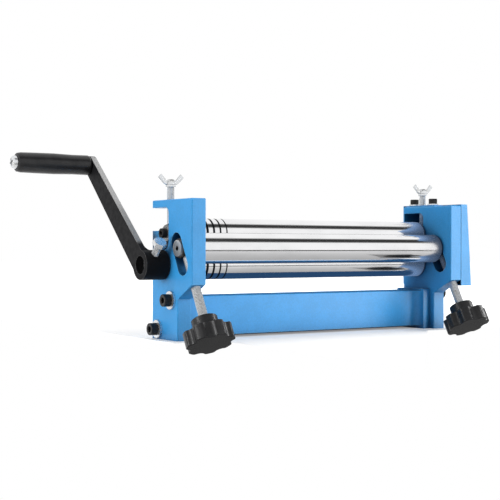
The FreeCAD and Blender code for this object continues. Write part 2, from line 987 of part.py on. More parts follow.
def make_gear_cover():
    """Cast cover over the gears, leaning out towards its foot, held by a tab on top."""
    body = new_body("gear_cover")
    rise = "(cover_top_height - cover_bottom_height)"
    lean = f"(cover_bottom_depth - cover_top_depth) / {rise}"
    shell = [
        ("outer_face", "cover_bottom_height"),
        ("outer_face + cover_bottom_depth", "cover_bottom_height"),
        ("outer_face + cover_top_depth", "cover_top_height"),
        ("outer_face", "cover_top_height"),
    ]
    hollow = [
        ("outer_face - cut_margin", "cover_bottom_height + cover_wall"),
        (
            f"outer_face + cover_bottom_depth - cover_wall * (1 + {lean})",
            "cover_bottom_height + cover_wall",
        ),
        ("outer_face + cover_top_depth - cover_wall", "frame_height"),
        ("outer_face - cut_margin", "frame_height"),
    ]
    block = pad(
        body,
        polygon(body, "cover_outline", "XZ_Plane", shell),
        "cover_block",
        "rear_y - frame_front_y + cover_wall",
    )
    inside = body.newObject("PartDesign::Pocket", "cover_hollow")
    inside.Profile = polygon(body, "cover_inside", "XZ_Plane", hollow)
    bind(inside, "Length", "rear_y - frame_front_y - cover_wall")
    shift_sketch("cover_outline", "-rear_y - cover_wall")
    shift_sketch("cover_inside", "-rear_y")
    inside.Reversed = True
    before = block.Shape.Volume
    doc.recompute()
    if inside.Shape.Volume > 0.6 * before:
        raise ValueError("the cover isn't hollow")
    rim = size("frame_front_y"), size("rear_y") + size("cover_wall")
    soften(
        body,
        "cover_edges",
        "edge_round",
        lambda e: e.BoundBox.XMax > size("outer_face") + size("cover_wall")
        and e.BoundBox.ZLength > size("frame_height") / 2
        and (near(e.BoundBox.YMin, rim[0]) or near(e.BoundBox.YMax, rim[1])),
    )
    primitive(
        body,
        "AdditiveBox",
        "rear_leaf",
        {
            "Length": "frame_thick - cover_leaf_start + merge",
            "Width": "cover_wall",
            "Height": "cover_top_height - cover_bottom_height",
        },
        x="half_width + cover_leaf_start",
        y="rear_y",
        z="cover_bottom_height",
    )
    primitive(
        body,
        "AdditiveBox",
        "cover_tab",
        {
            "Length": "cover_tab_reach + merge",
            "Width": "cover_tab_rear_y - cover_tab_front_y",
            "Height": "cover_wall",
        },
        x="outer_face - cover_tab_reach",
        y="cover_tab_front_y",
        z="frame_height",
    )
    for which in ("front", "rear"):
        drill(
            body,
            which + "_tab_hole",
            "small_screw_radius + small_clearance",
            "cover_wall",
            x="mid_frame",
            y=f"cover_screw_{which}_y",
            z="frame_height",
        )
    drill(
        body,
        "wing_screw_clearance",
        "wing_screw_radius + wing_hole_clearance",
        "cover_wall",
        x="mid_frame",
        y="rear_roll_y",
        z="frame_height",
    )


def shift_sketch(name, depth):
    """Move a sketch on the XZ plane along the plane's normal, which is -Y."""
    bind(doc.getObject(name), "AttachmentOffset.Base.z", depth)


# ---------------------------------------------------------------- screws and knobs


def make_wing_screw(side, sign):
    """Wing screw that presses a bearing block down through the hook."""
    body = new_body(side + "_wing_screw")
    tip = "upper_roll_height + upper_block_radius + seat_gap"
    collar = "frame_height + wing_screw_reach"
    hub = collar + " + wing_collar_height"
    for name, radius, start, length in (
        ("rod", "wing_screw_radius", tip, f"{collar} + merge - ({tip})"),
        ("collar", "wing_collar_radius", collar, "wing_collar_height"),
        ("hub", "wing_hub_radius", hub + " - merge", "wing_hub_height + merge"),
    ):
        primitive(
            body,
            "AdditiveCylinder",
            f"{side}_wing_{name}",
            {"Radius": radius, "Height": length},
            z=start,
        )
    for hand, wing in (("minus", "-1"), ("plus", "1")):
        corners = [
            (f"{wing} * wing_foot", hub),
            (f"{wing} * (wing_span / 2 - wing_bend_in)", hub + " + wing_bend_rise"),
            (f"{wing} * wing_span / 2", hub + " + wing_tip_rise"),
            (f"{wing} * (wing_span / 2 - wing_top_in)", hub + " + wing_top_rise"),
            (f"{wing} * (wing_collar_radius - wing_root_in)", hub + " + wing_root_rise"),
            (f"{wing} * wing_foot", hub + " + wing_middle_rise"),
        ]
        sketch = polygon(body, f"{side}_wing_{hand}", "XZ_Plane", corners)
        blade = pad(body, sketch, f"{side}_blade_{hand}", "wing_thick")
        blade.Midplane = True
    doc.recompute()
    bend = size("wing_span") / 2 - size("wing_bend_in")

    def tip_or_bend(edge):
        x0, x1, y0, y1, z0, z1 = box_of(edge)
        across = near(y1 - y0, size("wing_thick")) and near(x0, x1) and near(z0, z1)
        return across and (abs(x0) > bend or near(abs(x0), bend))

    soften(body, side + "_wing_rounds", "wing_round", tip_or_bend)
    place(body, x="mid_frame" if sign > 0 else "-mid_frame", y="rear_roll_y")


def along_slot(body, sign):
    """Stand a body on the front roll's axis, with its own Z up the slot."""
    place(
        body,
        x="mid_frame" if sign > 0 else "-mid_frame",
        y="front_roll_y",
        z="front_roll_height",
        turn=Rotation(Vector(1, 0, 0), -size("slot_angle")),
    )


def knob_reach(side):
    return "adjust_reach + adjust_left_extra" if side == "left" else "adjust_reach"


def make_adjusting_screw(side, sign):
    body = new_body(side + "_adjusting_screw")
    start = "front_bush_radius + seat_gap"
    primitive(
        body,
        "AdditiveCylinder",
        side + "_adjuster_rod",
        {
            "Radius": "adjust_radius",
            "Height": f"{knob_reach(side)} + knob_thread_depth - ({start})",
        },
        z=f"-({knob_reach(side)}) - knob_thread_depth",
    )
    soften(
        body,
        side + "_adjuster_ends",
        "rod_chamfer",
        lambda e: near(e.BoundBox.ZLength, 0) and near(e.BoundBox.XLength, 2 * size("adjust_radius"), 0.2),
        kind="Chamfer",
    )
    along_slot(body, sign)


def make_star_knob(side, sign):
    """Star knob with rounded lobes, and a round boss on the screw's side."""
    body = new_body(side + "_star_knob")
    reach = knob_reach(side)
    foot = f"-({reach}) - knob_boss_height - knob_star_height"
    flute_reach = "knob_radius + knob_flute_radius - knob_flute_depth"
    primitive(
        body,
        "AdditiveCylinder",
        side + "_star",
        {"Radius": "knob_radius", "Height": "knob_star_height"},
        z=foot,
    )
    flute = primitive(
        body,
        "SubtractiveCylinder",
        side + "_flute",
        {"Radius": "knob_flute_radius", "Height": "knob_star_height"},
        x=f"({flute_reach}) * cos({side}_knob_turn)",
        y=f"({flute_reach}) * sin({side}_knob_turn)",
        z=foot,
    )
    ring = body.newObject("PartDesign::PolarPattern", side + "_flutes")
    ring.Originals = [flute]
    ring.Axis = (origin_plane(body, "Z_Axis"), [""])
    ring.Angle = 360
    ring.Occurrences = int(size("knob_lobes"))
    body.Tip = ring
    doc.recompute()
    soften(
        body,
        side + "_lobes",
        "knob_lobe_round",
        lambda e: near(e.BoundBox.ZLength, size("knob_star_height"))
        and e.BoundBox.XLength < 0.01
        and e.BoundBox.YLength < 0.01,
    )
    heights = [corner.Z for corner in body.Shape.Vertexes]
    soften(
        body,
        side + "_rims",
        "knob_rim_round",
        lambda e: near(e.BoundBox.ZLength, 0)
        and (near(e.BoundBox.ZMin, min(heights)) or near(e.BoundBox.ZMin, max(heights))),
    )
    primitive(
        body,
        "AdditiveCylinder",
        side + "_boss",
        {"Radius": "knob_boss_radius", "Height": "knob_boss_height + merge"},
        z=f"-({reach}) - knob_boss_height - merge",
    )
    top = max(corner.Z for corner in body.Shape.Vertexes)
    soften(
        body,
        side + "_boss_rim",
        "boss_rim_round",
        lambda e: near(e.BoundBox.ZMin, top) and near(e.BoundBox.ZMax, top),
    )
    drill(
        body,
        side + "_knob_thread",
        "adjust_radius + running_gap",
        "knob_thread_depth + thread_end_gap",
        z=f"-({reach}) - knob_thread_depth - thread_end_gap",
    )
    along_slot(body, sign)


# ---------------------------------------------------------------- crank


def make_crank():
    """Cast crank: hub clamped on the lower roll's journal, with a flat tapered arm."""
    body = new_body("crank_arm")
    for name, radius, start, length, y, z in (
        ("hub", "hub_radius", "hub_start", "hub_length", "rear_roll_y", "lower_roll_height"),
        ("arm_end", "arm_half_width_end", "arm_start", "arm_thick", "grip_y", "grip_height"),
    ):
        primitive(
            body,
            "AdditiveCylinder",
            name,
            {"Radius": radius, "Height": length},
            x=f"-({start}) - {length}",
            y=y,
            z=z,
            turn=X_TURN,
        )
        if name == "hub":
            add_arm(body)
    drill(
        body,
        "hub_bore",
        "drive_journal_radius + running_gap",
        "hub_length",
        x="-hub_end",
        y="rear_roll_y",
        z="lower_roll_height",
        turn=X_TURN,
    )
    drill(
        body,
        "grip_thread",
        "handle_screw_radius + running_gap",
        "arm_thick",
        x="-hub_end",
        y="grip_y",
        z="grip_height",
        turn=X_TURN,
    )
    drill(
        body,
        "set_bolt_thread",
        "set_bolt_radius + running_gap",
        "hub_radius - drive_journal_radius + 2 * cut_margin",
        x="-set_bolt_x",
        y="rear_roll_y - (drive_journal_radius - cut_margin) * sin(arm_angle)",
        z="lower_roll_height + (drive_journal_radius - cut_margin) * cos(arm_angle)",
        turn=Rotation(Vector(1, 0, 0), size("arm_angle")),
    )


def add_arm(body):
    """Flat arm from the hub to the grip, and the fillet where it leaves the hub."""
    ends = (
        ("rear_roll_y", "lower_roll_height", "arm_half_width_hub"),
        ("grip_y", "grip_height", "arm_half_width_end"),
    )
    corners = []
    for (y, z, half), signs in zip(ends, ((1, -1), (-1, 1))):
        for sign in signs:
            corners.append(
                (
                    f"{y} - {sign} * {half} * sin(arm_angle)",
                    f"{z} + {sign} * {half} * cos(arm_angle)",
                )
            )
    sketch = polygon(body, "arm_outline", "YZ_Plane", corners)
    bind(sketch, "AttachmentOffset.Base.z", "-hub_end")
    pad(body, sketch, "arm", "arm_thick")
    inner = -size("arm_start")

    def root(edge):
        x0, x1, y0, y1, z0, z1 = box_of(edge)
        if not (near(x0, inner) and near(x1, inner)):
            return False
        return edge.Curve.TypeId == "Part::GeomCircle" and near(edge.Curve.Radius, size("hub_radius"))

    soften(body, "arm_root", "arm_fillet", root)


def make_set_bolt():
    """Hex head bolt that clamps the crank's hub on the journal."""
    reach, radius = size("set_bolt_reach"), size("set_bolt_radius")
    start = size("drive_journal_radius") + size("running_gap")
    head = hexagon(size("set_bolt_flats"), size("set_bolt_head"))
    crown = size("set_bolt_flats") / math.sqrt(3) - size("set_bolt_crown")
    cone = Part.makeCone(crown + size("set_bolt_slope"), crown, size("set_bolt_head"))
    head = head.common(cone)
    head.translate(Vector(0, 0, reach))
    shank = Part.makeCylinder(radius, reach - start, Vector(0, 0, start))
    bolt = head.fuse(shank)
    spot = Vector(-size("set_bolt_x"), size("rear_roll_y"), size("lower_roll_height"))
    bolt.Placement = Placement(spot, Rotation(Vector(1, 0, 0), size("arm_angle")))
    shape_node("crank_set_bolt", [bolt])


def make_grip():
    """Turned grip, thickest in the middle, that spins on the handle screw."""
    body = new_body("handle_grip")
    bore = "handle_screw_radius + running_gap"
    profile = [("-grip_start", bore)]
    for share, less in GRIP_SWELL:
        profile.append((f"-grip_start - grip_length * {share}", f"grip_radius - {less}"))
    profile.append(("-grip_end", bore))
    sketch = polygon(body, "grip_profile", "XZ_Plane", profile)
    revolve(body, sketch, "grip_turned")
    place(body, y="grip_y", z="grip_height")


def make_handle_screw():
    """Cross-recessed pan head screw that the grip spins on, threaded into the arm."""
    radius, head_radius = size("handle_screw_radius"), size("handle_head_radius")
    head_length = size("handle_head_length")
    seat = size("grip_end") + size("handle_seat_gap")
    length = seat - size("arm_start") - size("thread_end_gap")
    head = Part.makeCylinder(head_radius, head_length)
    rim = [e for e in head.Edges if near(e.BoundBox.ZMin, head_length)]
    head = head.makeFillet(0.6 * head_length, rim)
    wide, span, deep = size("recess_width"), size("recess_span"), size("recess_depth")
    for turn in (0, 90):
        corner = Vector(-wide / 2, -span / 2, head_length - deep)
        blade = Part.makeBox(wide, span, deep + size("cut_margin"), corner)
        blade.rotate(Vector(0, 0, 0), Vector(0, 0, 1), turn + size("recess_turn"))
        head = head.cut(blade)
    shank = Part.makeCylinder(radius, length, Vector(0, 0, -length))
    screw = head.fuse(shank).removeSplitter()
    shape_node(
        "handle_screw", [along_x(screw, -1, seat, size("grip_y"), size("grip_height"))]
    )


# ---------------------------------------------------------------- all


def check_and_write():
    failed = [o.Name for o in doc.Objects if {"Invalid", "Error"} & set(o.State)]
    if failed:
        raise ValueError("failed objects: " + ", ".join(failed))
    os.makedirs("parts", exist_ok=True)
    for node in nodes:
        shape = node.Shape
        if shape.isNull() or not shape.isValid() or not shape.Solids:
            raise ValueError(node.Label + " has no valid solid")
    for node in nodes:
        node.Shape.exportStep(f"parts/{node.Label}.step")
        print(f"{node.Label}: {len(node.Shape.Solids)} solid(s), {node.Shape.Volume:.0f} mm3")


def main():
    fill_sheets()
    for side in SIDES:
        make_frame(side)
    make_base_beam()
    make_base_fasteners()
    make_gear_cover()
    make_cover_fasteners()
    make_lower_roll()
    make_upper_roll()
    make_front_roll()
    for side, sign in SIDES.items():
        make_drive_bush(side)
        make_upper_block(side)
        make_front_bush(side)
        make_wing_screw(side, sign)
        make_adjusting_screw(side, sign)
        make_star_knob(side, sign)
    make_upper_end_fastener()
    make_gears()
    make_crank()
    make_set_bolt()
    make_grip()
    make_handle_screw()
    doc.recompute()
    check_and_write()


main()
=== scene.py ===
"""Slip roll machine: threads, knurled heads, finishes and the studio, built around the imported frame."""

import math

import bpy
import numpy as np
from bpy.props import FloatProperty, FloatVectorProperty, IntProperty, PointerProperty
from mathutils import Matrix, Vector


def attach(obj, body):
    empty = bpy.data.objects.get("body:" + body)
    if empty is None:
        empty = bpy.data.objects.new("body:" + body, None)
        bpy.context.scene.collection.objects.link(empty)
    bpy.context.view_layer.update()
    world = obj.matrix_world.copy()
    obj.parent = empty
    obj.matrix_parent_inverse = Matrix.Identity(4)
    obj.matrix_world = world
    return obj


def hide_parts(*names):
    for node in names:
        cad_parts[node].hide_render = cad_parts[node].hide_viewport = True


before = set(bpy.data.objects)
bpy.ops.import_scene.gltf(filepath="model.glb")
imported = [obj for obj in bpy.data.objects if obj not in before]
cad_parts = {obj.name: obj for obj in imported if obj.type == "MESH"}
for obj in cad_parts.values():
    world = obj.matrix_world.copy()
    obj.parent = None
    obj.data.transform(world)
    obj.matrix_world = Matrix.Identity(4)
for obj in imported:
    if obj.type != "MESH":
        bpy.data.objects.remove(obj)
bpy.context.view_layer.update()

bl_info = {
    "name": "Slip Roll Machine",
    "version": (1, 0, 0),
    "blender": (4, 5, 0),
    "location": "View3D > Sidebar > Slip Roll",
    "description": "Finishes, threads and knurls for a hand-cranked slip roll, and its studio",
    "category": "Object",
}

MM = 0.001

# Axes of the rolls as (y, z) in metres, the middle of a frame along X, the lean of the front roll's slots,
# and the crank's rise off level and its length from axis to axis.
REAR_Y = 2.0 * MM
LOWER_AXIS = (REAR_Y, 77.5 * MM)
UPPER_AXIS = (REAR_Y, 110.3 * MM)
FRONT_AXIS = (-28.1 * MM, 94.65 * MM)
FRAME_MIDDLE = 173.25 * MM
SLOT_ANGLE = math.radians(28.5)
ARM_ANGLE = math.radians(41.6)
ARM_LENGTH = 164.5 * MM
# Half widths of the crank arm at its hub and its tip, and how far out the painted highlight on its upper
# flank begins and is full.
HUB_REACH = 13.4 * MM
TIP_REACH = 10.2 * MM
LIT_FLANK_START = 17.0 * MM
LIT_FLANK_FULL = 25.0 * MM

# Rolls: radius, then the places along X of the row of wire grooves, of the haze and of the painted shadow
# ring near the gear end, and of the barrel's end, and the radius of the drilled centre.
ROLL_RADIUS = 16.0 * MM
GROOVES_START = -145.0 * MM
GROOVES_END = -108.0 * MM
HAZE_START = 118.0 * MM
HAZE_FULL = 160.0 * MM
END_SHADOW_RING = 162.0 * MM
BARREL_END = 165.0 * MM
CENTRE_HOLE = 2.4 * MM

# Socket screws: head radius, head length, shank radius, shank length, and where they sit.
BASE_BOLT = (6.4 * MM, 8.0 * MM, 4.0 * MM, 27.0 * MM)
BASE_BOLT_SEAT = 183.5 * MM
BASE_BOLT_SPOTS = ((-13.3 * MM, 41.4 * MM), (15.1 * MM, 10.4 * MM))
COVER_SCREW = (5.0 * MM, 6.0 * MM, 3.0 * MM, 9.7 * MM)
COVER_SCREW_SEAT = 148.0 * MM
COVER_SCREW_SPOTS = (-16.3 * MM, 16.5 * MM)
END_SCREW = (5.0 * MM, 6.0 * MM, 3.0 * MM, 15.8 * MM)
END_SCREW_SEAT = -179.1 * MM
# The M6 heads have fewer ribs than the M8 ones, and a shallower knurl.
SMALL_RIBS_FEWER = 8
SMALL_KNURL_SHARE = 0.8

# Threads: groove depth and end taper as shares of the pitch, and a rod's columns.
THREAD_DEPTH = 0.34
THREAD_RUNOUT = 0.3
ROD_COLUMNS = 36

# Wing screws: the rod from the bearing block up to the collar, the height of the wings, and the collar and
# hub as (height above the collar's seat, radius) in millimetres.
WING_ROD_RADIUS = 3.95 * MM
WING_ROD_LOW = 119.8 * MM
WING_COLLAR = 158.0 * MM
WING_HUB = 160.8 * MM
WING_PROFILE = (
    (0.0, 4.4), (0.0, 4.95), (0.35, 5.3), (2.4, 5.3), (2.75, 4.95), (2.85, 4.5),
    (3.4, 4.5), (5.6, 4.35), (7.4, 3.9), (8.1, 3.2), (8.3, 2.0),
)

# Adjusting screws: radius, how far each reaches down from the front roll's axis, and where it starts.
ADJUSTER_RADIUS = 4.9 * MM
ADJUSTER_REACH = (("left", -1, 97.2 * MM), ("right", 1, 92.0 * MM))
ADJUSTER_TOP = 10.1 * MM

# Crank set bolt: its place along the rolls, then its width across flats, head height, seat's distance from
# the roll's axis, shank's start and shank's radius.
SET_BOLT_X = -196.8 * MM
SET_BOLT = (13.0 * MM, 5.4 * MM, 26.8 * MM, 9.55 * MM, 4.0 * MM)
SET_BOLT_COLUMNS = 60
# Hex head, from its washer face up to its rounded top: (height on a head 5.4 mm high, cutting radius as a
# share of the corners').
HEX_HEAD = (
    (0.0, 0.86), (0.25, 0.86), (0.25, 0.94), (0.5, 1.0), (1.2, 2.0), (3.0, 2.0),
    (4.0, 1.5), (4.4, 0.985), (4.8, 0.935), (5.1, 0.89), (5.4, 0.845), (5.4, 0.5),
)

CASTINGS = ("left_frame", "right_frame", "base_beam", "gear_cover")
# The star knobs and their places along X.
KNOBS = {"left_star_knob": -0.173, "right_star_knob": 0.173}


# ---------------------------------------------------------------- settings


class SLIPROLL_PG_paint(bpy.types.PropertyGroup):
    """Powder coat on the frames, the beam and the gear cover."""

    colour: FloatVectorProperty(
        name="Blue",
        description="Powder coat colour",
        subtype="COLOR",
        size=4,
        min=0.0,
        max=1.0,
        default=(0.032, 0.328, 0.742, 1.0),
    )
    # Pale blue used for the painted highlight along the rounded edges, and for the coat's random pale
    # specks.
    speck_and_highlight_colour: FloatVectorProperty(
        name="Edge blue",
        description="Thinner coat on the rounded edges",
        subtype="COLOR",
        size=4,
        min=0.0,
        max=1.0,
        default=(0.210, 0.570, 0.910, 1.0),
    )
    roughness: FloatProperty(
        name="Roughness",
        description="Satin of the coat",
        subtype="FACTOR",
        min=0.0,
        max=1.0,
        default=0.42,
    )
    peel: FloatProperty(
        name="Grain", description="Size of the coat's fine grain", unit="LENGTH", default=0.9 * MM
    )


class SLIPROLL_PG_metal(bpy.types.PropertyGroup):
    """Bright and black metals."""

    roll_colour: FloatVectorProperty(
        name="Roll steel",
        description="Ground and polished rolls",
        subtype="COLOR",
        size=4,
        min=0.0,
        max=1.0,
        default=(0.90, 0.90, 0.91, 1.0),
    )
    roll_roughness: FloatProperty(
        name="Roll polish",
        description="Roughness of the rolls",
        subtype="FACTOR",
        min=0.0,
        max=1.0,
        default=0.10,
    )
    zinc_colour: FloatVectorProperty(
        name="Zinc",
        description="Zinc plated screws and washers",
        subtype="COLOR",
        size=4,
        min=0.0,
        max=1.0,
        default=(0.72, 0.735, 0.75, 1.0),
    )
    iron_colour: FloatVectorProperty(
        name="Black iron",
        description="Enamel on the cast crank",
        subtype="COLOR",
        size=4,
        min=0.0,
        max=1.0,
        default=(0.012, 0.012, 0.013, 1.0),
    )


class SLIPROLL_PG_turning(bpy.types.PropertyGroup):
    """Threads, knurls and wings."""

    adjuster_pitch: FloatProperty(
        name="Adjuster pitch",
        description="Thread pitch of the adjusting screws",
        unit="LENGTH",
        default=1.5 * MM,
    )
    wing_pitch: FloatProperty(
        name="Wing pitch",
        description="Thread pitch of the wing screws",
        unit="LENGTH",
        default=1.25 * MM,
    )
    rows_per_pitch: IntProperty(
        name="Rows", description="Mesh rows along one thread pitch", min=6, max=24, default=12
    )
    knurl_ribs: IntProperty(
        name="Knurl ribs", description="Ribs around a socket screw's head", min=12, max=96, default=44
    )
    knurl_depth: FloatProperty(
        name="Knurl depth", description="Depth between two ribs", unit="LENGTH", default=0.22 * MM
    )


class SLIPROLL_PG_studio(bpy.types.PropertyGroup):
    """Camera, lamps and the bench board."""

    camera_place: FloatVectorProperty(
        name="Camera",
        description="Where the camera stands",
        subtype="TRANSLATION",
        size=3,
        default=(-0.7397, -1.0215, 0.0951),
    )
    camera_turn: FloatVectorProperty(
        name="Camera turn",
        description="Heading, tilt down and roll",
        subtype="EULER",
        size=3,
        default=(math.radians(33.0), math.radians(0.106), math.radians(0.078)),
    )
    lens: FloatProperty(name="Lens", description="Focal length", unit="CAMERA", default=80.86)
    fill: FloatProperty(name="Fill", description="Even light from all round", default=0.34)
    key_power: FloatProperty(
        name="Key", description="Power of the front softbox", unit="POWER", default=46.0
    )
    sheen_power: FloatProperty(
        name="Sheen", description="Power of the lamp that shines in the paint", unit="POWER", default=19.0
    )
    knob_power: FloatProperty(
        name="Knob strips", description="Power of each strip lamp beside a knob", unit="POWER", default=5.0
    )
    side_power: FloatProperty(
        name="Side", description="Power of the softbox beyond the crank", unit="POWER", default=5.0
    )
    top_power: FloatProperty(
        name="Top", description="Power of the overhead softbox", unit="POWER", default=14.0
    )
    back_power: FloatProperty(
        name="Back", description="Power of the softbox behind", unit="POWER", default=12.0
    )
    board_white: FloatProperty(
        name="Board white",
        description="Paleness of the bench board",
        subtype="FACTOR",
        min=0.0,
        max=1.0,
        default=0.80,
    )


# ---------------------------------------------------------------- mesh helpers


def unit_slot():
    """Direction up the front roll's slots."""
    return Vector((0.0, math.sin(SLOT_ANGLE), math.cos(SLOT_ANGLE)))


def shell(points):
    """Vertices and face arrays of one closed skin.

    points is (rows, columns, 3). Each row runs once round the axis and joins its own start. Rows are
    joined to their neighbours by quads, and the first and last row are closed by triangles to their
    middle. The faces are turned over if the volume under them comes out negative.
    """
    rows, columns = points.shape[:2]
    index = np.arange(rows * columns).reshape(rows, columns)
    beside = np.roll(index, -1, axis=1)
    quads = np.stack([index[:-1], beside[:-1], beside[1:], index[1:]], axis=-1).reshape(-1, 4)
    vertices = np.concatenate([points.reshape(-1, 3), points[:1].mean(1), points[-1:].mean(1)])
    first, last = rows * columns, rows * columns + 1
    start = np.stack([beside[0], index[0], np.full(columns, first)], axis=-1)
    end = np.stack([index[-1], beside[-1], np.full(columns, last)], axis=-1)
    a, b, c = (vertices[quads[:, i]] for i in range(3))
    if np.einsum("ij,ij->i", a, np.cross(b, c)).sum() < 0:
        quads, start, end = quads[:, ::-1], start[:, ::-1], end[:, ::-1]
    return vertices, (quads, start, end)


def piece(name, shells, body, nodes, finish, smooth_deg=35.0):
    """One object made of closed skins, riding on a body in place of CAD nodes."""
    vertices, faces, offset = [], [], 0
    for corners, blocks in shells:
        for block in blocks:
            faces += (block + offset).tolist()
        vertices.append(corners)
        offset += len(corners)
    mesh = bpy.data.meshes.new(name)
    mesh.from_pydata(np.concatenate(vertices).tolist(), [], faces)
    mesh.validate()
    mesh.shade_smooth()
    mesh.set_sharp_from_angle(angle=math.radians(smooth_deg))
    mesh.materials.append(finish)
    made = bpy.data.objects.new(name, mesh)
    bpy.context.scene.collection.objects.link(made)
    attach(made, body)
    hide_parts(*nodes)


def around(columns):
    """Angles of one row, once round."""
    return np.arange(columns) * (2 * math.pi / columns)


def turned(along, radius):
    """Points of a turned skin about Z: each row at its height, each column at radius(row, column)."""
    columns = radius.shape[1]
    angle = around(columns)
    x, y = radius * np.cos(angle), radius * np.sin(angle)
    return np.stack([x, y, np.broadcast_to(along[:, None], x.shape)], axis=-1)


def set_on(points, place, z_axis, x_hint=(0.0, 0.0, 1.0)):
    """Stand points made about Z on a place, with their Z along z_axis."""
    z = Vector(z_axis).normalized()
    x = Vector(x_hint)
    x = (x - z * x.dot(z)).normalized()
    y = z.cross(x)
    basis = np.array([x, y, z])
    return points @ basis + np.array(place)


def hexagon_radius(columns, flats):
    """Distance from the middle to a hexagon's side at each angle.

    That is half the width across flats over the cosine of the angle from the nearest flat's middle.
    """
    sixth = math.pi / 3
    return flats / 2 / np.cos((around(columns) + sixth / 2) % sixth - sixth / 2)


def threaded(start, end, radius, pitch, rows_per_pitch, columns=ROD_COLUMNS):
    """A threaded rod's heights and radii.

    Each point's radius falls from the crest by the depth times a trapezoid wave of (height over pitch
    minus angle over a turn), so that the groove climbs one pitch a turn. The wave fades out over one pitch
    at both ends, where the rod tapers a little.
    """
    rows = max(4, int((end - start) / pitch * rows_per_pitch))
    along = np.linspace(start, end, rows + 1)
    phase = (along[:, None] / pitch - around(columns)[None, :] / (2 * math.pi)) % 1.0
    wave = np.clip(1.05 - 3.6 * np.abs(phase - 0.5), 0.0, 1.0)
    fade = np.clip(np.minimum(along - start, end - along) / pitch, 0.0, 1.0)[:, None]
    return along, radius - THREAD_DEPTH * pitch * wave * fade - (1 - fade) * THREAD_RUNOUT * pitch


def socket_screw(head_radius, head_length, shank_radius, shank_length, ribs, knurl):
    """Socket head screw about Z, seat at zero, as one closed skin.

    The rows go up the shank, out under the head, up its side, over the rounded rim, into the six-sided
    socket and down to its floor. The side's radius falls by the knurl's depth times half of one minus the
    cosine of the angle times the rib count.
    """
    columns = ribs * 6
    angle = around(columns)
    rim = 0.1 * head_radius
    ribbed = head_radius - knurl * (0.5 - 0.5 * np.cos(ribs * angle))
    plain = np.full(columns, 1.0)
    flats = 0.95 * head_radius
    six = hexagon_radius(columns, flats)
    floor = 0.45 * head_length
    chamfer = 0.06 * head_radius
    tip = 0.7 * MM
    bend = np.linspace(0.0, math.pi / 2, 5)
    rows = [
        (-shank_length, plain * (shank_radius - tip)),
        (-shank_length + tip, plain * shank_radius),
        (0.0, plain * shank_radius),
        (0.0, plain * (head_radius - rim)),
        (0.25 * rim, plain * (head_radius - 0.3 * rim)),
        (rim, plain * (head_radius - 0.05 * rim)),
        (1.4 * rim, ribbed),
        (head_length - 1.9 * rim, ribbed),
        (head_length - 1.45 * rim, plain * (head_radius - 0.05 * rim)),
    ]
    rows += [
        (head_length - rim + rim * math.sin(t), plain * (head_radius - rim + rim * math.cos(t)))
        for t in bend
    ]
    rows += [
        (head_length, plain * (0.72 * head_radius)),
        (head_length, plain * (flats / math.sqrt(3) + chamfer)),
        (head_length - chamfer, np.minimum(six + 0.2 * chamfer, flats / math.sqrt(3))),
        (head_length - 1.6 * chamfer, six),
        (floor, six),
        (floor, 0.5 * six),
    ]
    along = np.array([row[0] for row in rows])
    return turned(along, np.array([row[1] for row in rows]))


# ---------------------------------------------------------------- finishes


def add_node(tree, kind, inputs=None, **settings):
    """A new shader node, with each input linked to an output or set to a value."""
    node = tree.nodes.new(kind)
    for key, value in settings.items():
        setattr(node, key, value)
    for socket, value in (inputs or {}).items():
        if isinstance(value, bpy.types.NodeSocket):
            tree.links.new(value, node.inputs[socket])
        else:
            node.inputs[socket].default_value = value
    return node


